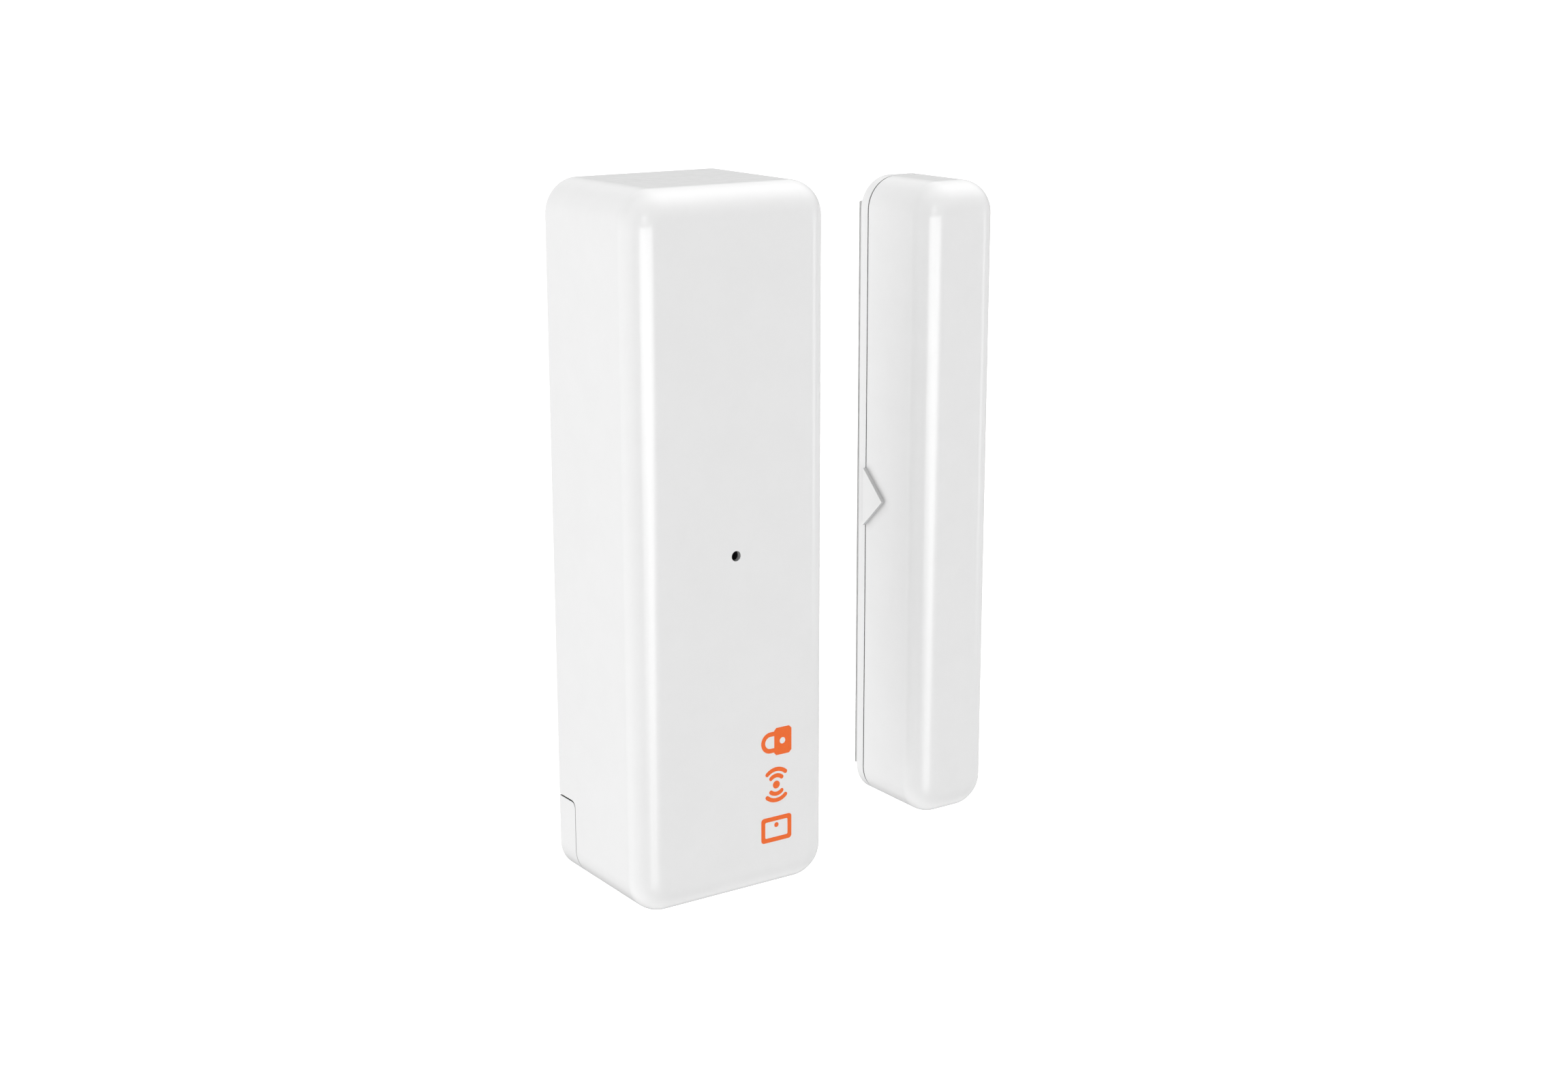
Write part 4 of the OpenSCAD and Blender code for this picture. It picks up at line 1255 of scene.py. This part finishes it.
zc = BZ - 3.6
prof = [(0.5, zc), (0.34, zc + 0.02), (0.2, zc + 0.1), (0.14, zc + 0.24), (0.14, BZ - 0.62), (0.12, BZ - 0.52), (0.02, BZ - 0.46), (0.0, BZ - 0.42), (0.0, BZ - 0.2), (0.03, BZ - 0.15)]
rr = [list(reversed(oval(i, z))) for i, z in prof]
cr.rings(rr)
cr.flat([list(reversed(rr[0]))], False)
cr.flat([list(reversed(rr[-1]))], True)
for sg in (-1, 1):
    cr.join(tube([(kx + sg * 2.44, ky, BZ - 0.3), (kx + sg * 2.44, ky, BZ + 0.2), (kx + sg * 2.44, ky, BF + 0.35)], 0.22, 12))
add(cr, "crystal_case", [NICKEL], "sensor_body", "cell_steel", ("crystal_can",), sharp=38)

# SAW filter: ceramic package with a plated lid and castellations
sf = Shape()
fx, fy = 0.9, 16.5
sf.join(box_shape(fx - 1.9, fy - 1.9, BZ - 0.9, fx + 1.9, fy + 1.9, BZ - 0.02, b=0.05, mat=0))
sf.join(box_shape(fx - 1.62, fy - 1.62, BZ - 1.2, fx + 1.62, fy + 1.62, BZ - 0.86, b=0.09, mat=1))
for sg in (-1, 1):
    for k in (-1, 0, 1):
        a, b = sorted((fx + sg * 1.80, fx + sg * 1.915))
        sf.join(box_shape(a, fy + k * 1.25 - 0.3, BZ - 0.6, b, fy + k * 1.25 + 0.3, BZ - 0.01, b=0.02, seg=1, mat=1))
add(sf, "saw_filter_package", [CERAMIC, GOLD], "sensor_body", "ceramic_white", ("saw_filter",))

# regulator
vr = Shape()
vx, vy = 4.2, -10.5
rings_v = [list(reversed(outline(1.3 - 2 * i, 2.9 - 2 * i, 0.08, z, vx, vy, seg=3))) for i, z in ((0.12, BZ - 1.1), (0.07, BZ - 1.07), (0.0, BZ - 0.6), (0.0, BZ - 0.52), (0.08, BZ - 0.1))]
vr.rings(rings_v, cap0=False, cap1=False)
vr.flat([list(reversed(rings_v[0]))], False)
vr.flat([list(reversed(rings_v[-1]))], True)
for sg, ys in ((-1, (-0.95, 0.95)), (1, (0.0,))):
    for y in ys:
        x0 = vx + sg * 0.62
        path = [(x0, BZ - 0.56), (x0 + sg * 0.16, BZ - 0.56), (x0 + sg * 0.26, BZ - 0.5), (x0 + sg * 0.30, BZ - 0.2), (x0 + sg * 0.36, BZ - 0.1), (x0 + sg * 0.58, BZ - 0.08)]
        rings_l = []
        for k, (px, pz) in enumerate(path):
            a, b = path[max(k - 1, 0)], path[min(k + 1, len(path) - 1)]
            d = Vector((b[0] - a[0], b[1] - a[1])).normalized()
            nn = Vector((-d.y, d.x)) * 0.065
            rings_l.append([(px + nn.x, vy + y - 0.2, pz + nn.y), (px + nn.x, vy + y + 0.2, pz + nn.y), (px - nn.x, vy + y + 0.2, pz - nn.y), (px - nn.x, vy + y - 0.2, pz - nn.y)])
        vr.rings(rings_l, cap0=True, cap1=True, mat=1)
        pad_rect(x0 + sg * 0.55, vy + y, 0.8, 0.7)
add(vr, "regulator_body", [EPOXY, TIN], "sensor_body", "chip_resin", ("voltage_regulator",), sharp=38)

# storage capacitor: aluminium can on a black base, crimp groove, dark half-moon
sc = Shape()
qx, qy = 6.0, -17.5
z0 = BZ - 5.4
can = [(0.0, 0.0), (1.72, 0.0), (1.84, 0.03), (1.94, 0.12), (1.99, 0.26), (2.0, 3.1), (1.93, 3.24), (1.80, 3.36), (1.80, 3.46), (1.93, 3.58), (2.0, 3.7), (2.0, 4.5)]
sc.join(lathe([(r, h) for r, h in can], (qx, qy, z0), (0, 0, 1), 48, mat=0))
half = [(qx + 1.55 * math.cos(math.radians(a)), qy + 1.55 * math.sin(math.radians(a))) for a in range(115, 246, 6)]
sc.join(prism([half], z0 - 0.004, z0 + 0.02, mat=2))
foot = [(-2.15, -2.15), (1.35, -2.15), (2.15, -1.35), (2.15, 1.35), (1.35, 2.15), (-2.15, 2.15)]
sc.join(prism([[(qx + x, qy + y) for x, y in foot]], BZ - 0.9, BZ - 0.02, mat=1))
for sg in (-1, 1):
    a, b = sorted((qy + sg * 1.2, qy + sg * 2.14))
    sc.join(box_shape(qx - 0.35, a, BZ - 0.12, qx + 0.35, b, BZ - 0.01, b=0.02, seg=1, mat=3))
    pad_rect(qx, qy + sg * 2.3, 1.2, 1.1)
add(sc, "storage_capacitor_can", [ALU, BLACK_NYLON_AND_PAINTED_HOLE_SHADE, EPOXY, TIN], "sensor_body", "capacitor_aluminium", ("storage_capacitor",), sharp=36)

# antenna coil: enamelled copper, both ends down through the board
acx, acz, ay0, ay1, ar = 5.8, BZ - 2.85, 17.4, 30.2, 1.95
turns, per = 8, 40
path = [(acx, 16.6, BF + 0.4), (acx, 16.6, BZ - 0.2), (acx, 16.62, acz + ar + 0.45), (acx + 0.02, 16.8, acz + ar + 0.16)]
for i in range(turns * per + 1):
    t = i / (turns * per)
    a = math.radians(90 + 360 * turns * t)
    path.append((acx + ar * math.cos(a), ay0 + (ay1 - ay0) * t, acz + ar * math.sin(a)))
path += [(acx - 0.02, 30.8, acz + ar + 0.16), (acx, 30.98, acz + ar + 0.45), (acx, 31.0, BZ - 0.2), (acx, 31.0, BF + 0.4)]
add(tube(path, 0.29, 14), "antenna_winding", [COPPER], "sensor_body", "coil_copper", ("antenna_coil",), sharp=60)

# status light: white body, clear resin, tinned ends
led = Shape()
led.join(box_shape(-0.8, -0.4, BF + 0.01, 0.8, 0.4, BF + 0.22, b=0.02, seg=1, mat=0))
led.join(box_shape(-0.5, -0.38, BF + 0.2, 0.5, 0.38, BF + 0.46, b=0.08, seg=3, mat=1))
for sg in (-1, 1):
    a, b = sorted((sg * 0.52, sg * 0.81))
    led.join(box_shape(a, -0.41, BF + 0.005, b, 0.41, BF + 0.235, b=0.02, seg=1, mat=2))
    pad_rect(sg * 0.95, 0.0, 0.8, 1.0, BF, 1)
add(led, "status_light", [CERAMIC, RESIN, TIN], "sensor_body", "led_resin", ("status_led",))

# smoked window at the inner end of the pinhole; its near-black colour also stands in for the shade inside the hole
win = lathe([(0.0, 0.0), (0.46, 0.0), (0.515, 0.05), (0.515, 0.16), (0.4, 0.19), (0.0, 0.21)], (0.0, 0.0, COVER[1][2] - 1.89), (0, 0, 1), 40)
add(win, "indicator_window", [SMOKED_WINDOW_AND_HOLE_SHADE], "sensor_body", "led_resin", sharp=50)

# solder joints where leads come through the board
for jx, jy, jr in ((7.0, 9.4, 0.27), (7.0, -9.4, 0.27), (5.8, 16.6, 0.29), (5.8, 31.0, 0.29), (kx - 2.44, ky, 0.22), (kx + 2.44, ky, 0.22)):
    pads.join(lathe([(jr, 0.46), (jr + 0.08, 0.30), (jr + 0.2, 0.14), (jr + 0.42, 0.05), (jr + 0.5, 0.02), (jr + 0.5, -0.002), (jr, -0.002)], (jx, jy, BF), (0, 0, 1), 24))
    pads.join(lathe([(jr, -0.002), (jr + 0.45, -0.002), (jr + 0.45, 0.03), (jr + 0.15, 0.07), (jr, 0.16)], (jx, jy, BZ), (0, 0, -1), 24))
add(pads, "solder_and_pads", [SOLDER], "sensor_body", "tinned_copper", sharp=30)

# screws: pan heads with a cross recess
screws = Shape()
for bx, by in ((-6.8, 29.2), (6.8, -29.2)):
    z0 = BZ - 1.2
    cross = []
    a_, b_ = 1.15, 0.21
    for px, py in ((b_, a_), (b_, b_), (a_, b_), (a_, -b_), (b_, -b_), (b_, -a_), (-b_, -a_), (-b_, -b_), (-a_, -b_), (-a_, b_), (-b_, b_), (-b_, a_)):
        cross.append((bx + px, by + py, z0))
    rim = circle(bx, by, z0, 1.38, 48)
    screws.flat([rim, cross], False)
    deep = [(bx + (x - bx) * 0.72, by + (y - by) * 0.72, z0 + 0.62) for x, y, z in cross]
    screws.rings([cross, deep])
    screws.flat([deep], False)
    dome = [(1.38, 0.0), (1.58, 0.07), (1.72, 0.22), (1.79, 0.42), (1.8, 0.62), (1.8, 1.12), (1.74, 1.19), (1.0, 1.2)]
    screws.rings([list(reversed(circle(bx, by, z0 + h, r, 48))) for r, h in dome])
    # threaded shank inside the boss
    th = []
    L, pitch = 2.6, 0.55
    n = 56
    for i in range(n + 1):
        h = L * i / n
        ph = (h % pitch) / pitch
        r = 0.80 + 0.19 * (1 - abs(2 * ph - 1)) if h < L - 0.3 else 0.80 * (L - h) / 0.3 * 0.9 + 0.05
        th.append((r, h))
    screws.rings([list(reversed(circle(bx, by, BZ - 0.002 + h, r, 32))) for r, h in th], cap1=False)
    screws.flat([circle(bx, by, BZ - 0.002 + L, th[-1][0], 32)], True)
add(screws, "pan_head_screws", [ZINC], "sensor_body", "plated_steel", ("board_screws",), sharp=34)

# rails beside the cell
cad("battery_rails", BLACK_NYLON_AND_PAINTED_HOLE_SHADE, 0.18, 3)

# contact plates: sheet metal with a tab that goes through the board
CP = wall_box("positive_contact")
CN = wall_box("negative_contact")
for node, body_name, y_in, sgn in (("positive_contact", "positive_contact_plate", CP[0][1], -1), ("negative_contact", "negative_contact_plate", CN[1][1], 1)):
    lo, hi = wall_box(node)
    s = Shape()
    yc = (lo[1] + hi[1]) / 2
    cxm, czm = -3.6, 8.55
    out = [(x, z) for x, z, _ in outline(7.2, BZ - 4.95, 0.9, 0, cxm, (BZ + 4.95) / 2, seg=6)]

    def to_plate(p, y0=yc):
        return (p[0], y0 + p[2], p[1])

    plate_s = prism([out], -0.2, 0.2)
    s.join(turned(plate_s, lambda p: (p[0], yc - p[2], p[1])))
    s.join(box_shape(cxm - 0.8, yc - 0.2, BZ - 0.1, cxm + 0.8, yc + 0.2, BF + 0.5, b=0.05))
    # two stiffening beads pressed into the plate
    for dx in (-2.4, 2.4):
        s.join(tube([(cxm + dx, yc - sgn * 0.14, 6.2), (cxm + dx, yc - sgn * 0.14, 11.4)], 0.2, 10))
    add(s, body_name, [NICKEL], "sensor_body", "contact_spring_steel", (node,), sharp=38)
sold = Shape()
for y in (-26.2, 7.2):
    sold.join(lathe([(0.0, 0.62), (0.55, 0.6), (0.95, 0.42), (1.25, 0.12), (1.4, 0.0), (0.0, 0.0)], (-3.6, y, BF + 0.001), (0, 0, 1), 28))
add(sold, "contact_solder", [SOLDER], "sensor_body", "tinned_copper", sharp=45)

# contact spring: a tapering coil that the cell presses against the lower contact
spx, spz, sp0, sp1 = -3.6, 8.55, -26.0, -21.5
wr = 0.25
pts_s = []
N = 44 * 5
for i in range(N + 1):
    t = i / N
    a = 2 * math.pi * 5.0 * t
    # closed end turns, open middle
    e = max(0.0, min(1.0, (t - 0.16) / 0.68))
    y = sp0 + wr + 0.01 + (sp1 - sp0 - 2 * wr - 0.03) * (0.10 * min(t / 0.16, 1.0) + 0.80 * e + 0.10 * max(0.0, (t - 0.84) / 0.16))
    r = 3.2 - 1.0 * t
    pts_s.append((spx + r * math.cos(a), y, spz + r * math.sin(a)))
spring = build(tube(pts_s, wr, 12), "contact_spring", [SPRINGSTEEL], sharp=60)
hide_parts("battery_spring")
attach(spring, "sensor_body")
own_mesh(spring)

# cell: steel can with a crimped shoulder, raised terminal and a seal ring; shrink sleeve over it
CC = wall_box("battery_can")
cell_y, cell_top = CC[0][1], CC[1][1]
L = cell_top - cell_y
rc = 5.0
can_prof = [(0.0, 0.0), (3.9, 0.0), (4.1, 0.03), (4.3, 0.12), (4.55, 0.12), (4.8, 0.16), (4.95, 0.30), (rc, 0.5), (rc, L - 1.35), (4.95, L - 1.12), (4.8, L - 0.98), (4.55, L - 0.92), (4.4, L - 0.96), (4.3, L - 1.0)]
seal_prof = [(4.32, L - 1.1), (4.32, L - 0.95), (4.1, L - 0.86), (3.3, L - 0.84), (2.95, L - 0.84), (2.85, L - 0.9)]
nip_prof = [(2.95, L - 0.95), (2.9, L - 0.80), (2.62, L - 0.76), (2.5, L - 0.66), (2.48, L - 0.14), (2.42, L - 0.04), (2.28, L), (0.0, L)]
cellc = (spx, cell_y, spz)
cell = Shape()
cell.join(lathe(can_prof, cellc, (0, 1, 0), 72, mat=0))
cell.join(lathe(seal_prof, cellc, (0, 1, 0), 72, mat=1))
cell.join(lathe(nip_prof, cellc, (0, 1, 0), 72, mat=0))
add(cell, "cell_can", [NICKEL, BLACK_NYLON_AND_PAINTED_HOLE_SHADE], "battery", "cell_steel", ("battery_can",), sharp=50)
SL = wall_box("battery_sleeve")
s0, s1 = SL[0][1] - cell_y, SL[1][1] - cell_y
ro = 5.15
sl_prof = [(5.01, s0 + 0.05), (5.04, s0), (5.10, s0 + 0.01), (ro, s0 + 0.08), (ro, s1 - 0.08), (5.10, s1 - 0.01), (5.04, s1), (5.01, s1 - 0.05)]
sl = lathe(sl_prof + [sl_prof[0]], cellc, (0, 1, 0), 96, mat=0)
add(sl, "cell_sleeve", [SLEEVE], "battery", "cell_sleeve", ("battery_sleeve",), sharp=45)

# reed switch
gx, gz = 7.0, BZ - 1.55
g_prof = [(0.30, -6.72), (0.42, -6.94), (0.62, -7.0), (0.84, -6.86), (0.96, -6.6), (1.0, -6.2), (1.0, 6.2), (0.96, 6.6), (0.84, 6.86), (0.62, 7.0), (0.42, 6.94), (0.30, 6.72), (0.31, 5.3), (0.55, 5.02), (0.72, 4.6), (0.72, -4.6), (0.55, -5.02), (0.31, -5.3)]
gl = lathe(g_prof + [g_prof[0]], (gx, 0, gz), (0, 1, 0), 40)
add(gl, "reed_glass_tube", [GLASS], "sensor_body", "reed_glass", ("reed_glass",), sharp=70)
cad("reed_lead_lower", GOLD, 0.0)
cad("reed_lead_upper", GOLD, 0.0)
cad("reed_blade", GOLD, 0.02)

# bar magnet
cad("bar_magnet", FERRITE, 0.35, 3)

# ---------------------------------------------------------------- light, floor, camera
AMBIENT = 0.326
# soft round sources: azimuth and elevation in degrees (0 = straight ahead of the fronts,
# positive to the right), radius, edge softness, strength
SOFT_LIGHTS = [
    (146, 15, 16, 0.6, 0.11),
    (-26, -8, 5, 0.3, 3.718),
    (-26, -20, 5, 0.3, 3.282),
    (-20, -8, 5, 0.3, 3.258),
    (-32, -8, 5, 0.3, 3.147),
    (-2, -8, 5, 0.3, 3.058),
    (-8, -8, 5, 0.3, 2.891),
    (4, -8, 5, 0.3, 2.851),
    (-22, 18, 9, 0.6, 2.838),
    (-2, -14, 5, 0.3, 2.753),
    (-14, -8, 5, 0.3, 2.730),
    (10, -8, 5, 0.3, 2.603),
    (-38, -8, 5, 0.3, 2.599),
    (-20, -14, 5, 0.3, 2.420),
    (-38, -14, 5, 0.3, 2.155),
    (64, -8, 8, 0.4, 1.924),
    (-14, -14, 5, 0.3, 1.729),
    (-8, -20, 5, 0.3, 1.719),
    (-14, -20, 5, 0.3, 1.494),
    (-8, -14, 5, 0.3, 1.464),
    (86.2, 47.5, 22, 0.6, 0.737),
    (106.2, 69.6, 22, 0.6, 0.674),
    (95.6, -74.3, 22, 0.6, 0.662),
    (53.7, 59.6, 22, 0.6, 0.618),
    (-144, 13.7, 22, 0.6, 0.606),
    (-91.5, 18.2, 22, 0.6, 0.556),
    (118.6, 37.8, 22, 0.6, 0.527),
    (103.3, -25.9, 22, 0.6, 0.506),
    (-14.1, -15.2, 22, 0.6, 0.498),
    (-119.2, -24.4, 22, 0.6, 0.451),
    (-106.8, -47.5, 22, 0.6, 0.443),
    (21.2, 80.9, 22, 0.6, 0.423),
    (-131.6, -5, 22, 0.6, 0.422),
    (-139.3, -37.8, 22, 0.6, 0.410),
    (-74.3, -59.6, 22, 0.6, 0.394),
    (-83.8, 56.9, 22, 0.6, 0.342),
    (-99.1, -12.3, 22, 0.6, 0.311),
    (66.1, 32.5, 22, 0.6, 0.304),
    (138.7, 54.3, 22, 0.6, 0.291),
    (-116.3, 74.3, 22, 0.6, 0.240),
    (171.2, 43.4, 22, 0.6, 0.220),
    (-176.4, 21.3, 22, 0.6, 0.212),
    (-156.4, 34.2, 22, 0.6, 0.193),
    (-86.7, -32.5, 22, 0.6, 0.163),
    (-151.6, -16.7, 22, 0.6, 0.154),
    (151.1, 29.2, 22, 0.6, 0.150),
]
world = bpy.data.worlds.new("studio")
scene.world = world
world.use_nodes = True
nt = world.node_tree
nt.nodes.clear()
tc = nt.nodes.new("ShaderNodeTexCoord")
total = None
for az, el, rad, soft, amp in SOFT_LIGHTS:
    a, e = math.radians(az), math.radians(el)
    d = nt.nodes.new("ShaderNodeVectorMath")
    d.operation = "DOT_PRODUCT"
    nt.links.new(tc.outputs["Generated"], d.inputs[0])
    d.inputs[1].default_value = (math.cos(e) * math.sin(a), -math.cos(e) * math.cos(a), math.sin(e))
    lo = math.cos(min(math.radians(rad) * (1 + soft), math.pi))
    hi = math.cos(math.radians(rad) * max(1 - soft, 0))
    s_ = maprange(nt, d.outputs["Value"], lo, hi, 0.0, amp, smooth=True)
    total = s_ if total is None else math_node(nt, "ADD", total, s_)
total = math_node(nt, "ADD", total, AMBIENT)
bg = nt.nodes.new("ShaderNodeBackground")
bg.inputs["Color"].default_value = (1, 1, 1, 1)
nt.links.new(total, bg.inputs["Strength"])
seen = nt.nodes.new("ShaderNodeBackground")
seen.inputs["Color"].default_value = (1, 1, 1, 1)
seen.inputs["Strength"].default_value = 1.0
lp = nt.nodes.new("ShaderNodeLightPath")
mx = nt.nodes.new("ShaderNodeMixShader")
nt.links.new(lp.outputs["Is Camera Ray"], mx.inputs[0])
nt.links.new(bg.outputs[0], mx.inputs[1])
nt.links.new(seen.outputs[0], mx.inputs[2])
out = nt.nodes.new("ShaderNodeOutputWorld")
nt.links.new(mx.outputs[0], out.inputs["Surface"])

# floor: wide, pale and plain, well below the units, which hang as on a wall
fm = bpy.data.materials.new("floor_white")
fm.use_nodes = True
fnt = fm.node_tree
fp = next(n for n in fnt.nodes if n.type == "BSDF_PRINCIPLED")
fp.inputs["Base Color"].default_value = (0.86, 0.86, 0.86, 1)
fp.inputs["Roughness"].default_value = 0.9
fp.inputs["Specular IOR Level"].default_value = 0.0
fp.inputs["Emission Color"].default_value = (1, 1, 1, 1)
fp.inputs["Emission Strength"].default_value = 0.55
fme = bpy.data.meshes.new("floor")
ring_n = 96
R_FLOOR = 40.0
fv = [(0.0, 0.0, -0.32)] + [(R_FLOOR * math.cos(2 * math.pi * i / ring_n), R_FLOOR * math.sin(2 * math.pi * i / ring_n), -0.32) for i in range(ring_n)]
fme.from_pydata(fv, [], [(0, 1 + i, 1 + (i + 1) % ring_n) for i in range(ring_n)])
fme.materials.append(fm)
floor = bpy.data.objects.new("floor", fme)
scene.collection.objects.link(floor)
floor.visible_diffuse = False
floor.visible_glossy = False
floor.visible_transmission = False
floor.visible_shadow = False

cam_data = bpy.data.cameras.new("camera")
cam = bpy.data.objects.new("camera", cam_data)
scene.collection.objects.link(cam)
cam_data.sensor_fit = "HORIZONTAL"
cam_data.sensor_width = 36.0
cam_data.lens = 53.31
cam_data.clip_start = 0.005
cam_data.clip_end = 200.0
cam.location = (-0.120023, -0.20173, 0.057479)
cam.rotation_mode = "XYZ"
cam.rotation_euler = (math.radians(90 - 14.347), 0.0, -0.5985)
scene.camera = cam
scene.view_settings.view_transform = "Standard"
scene.view_settings.look = "None"
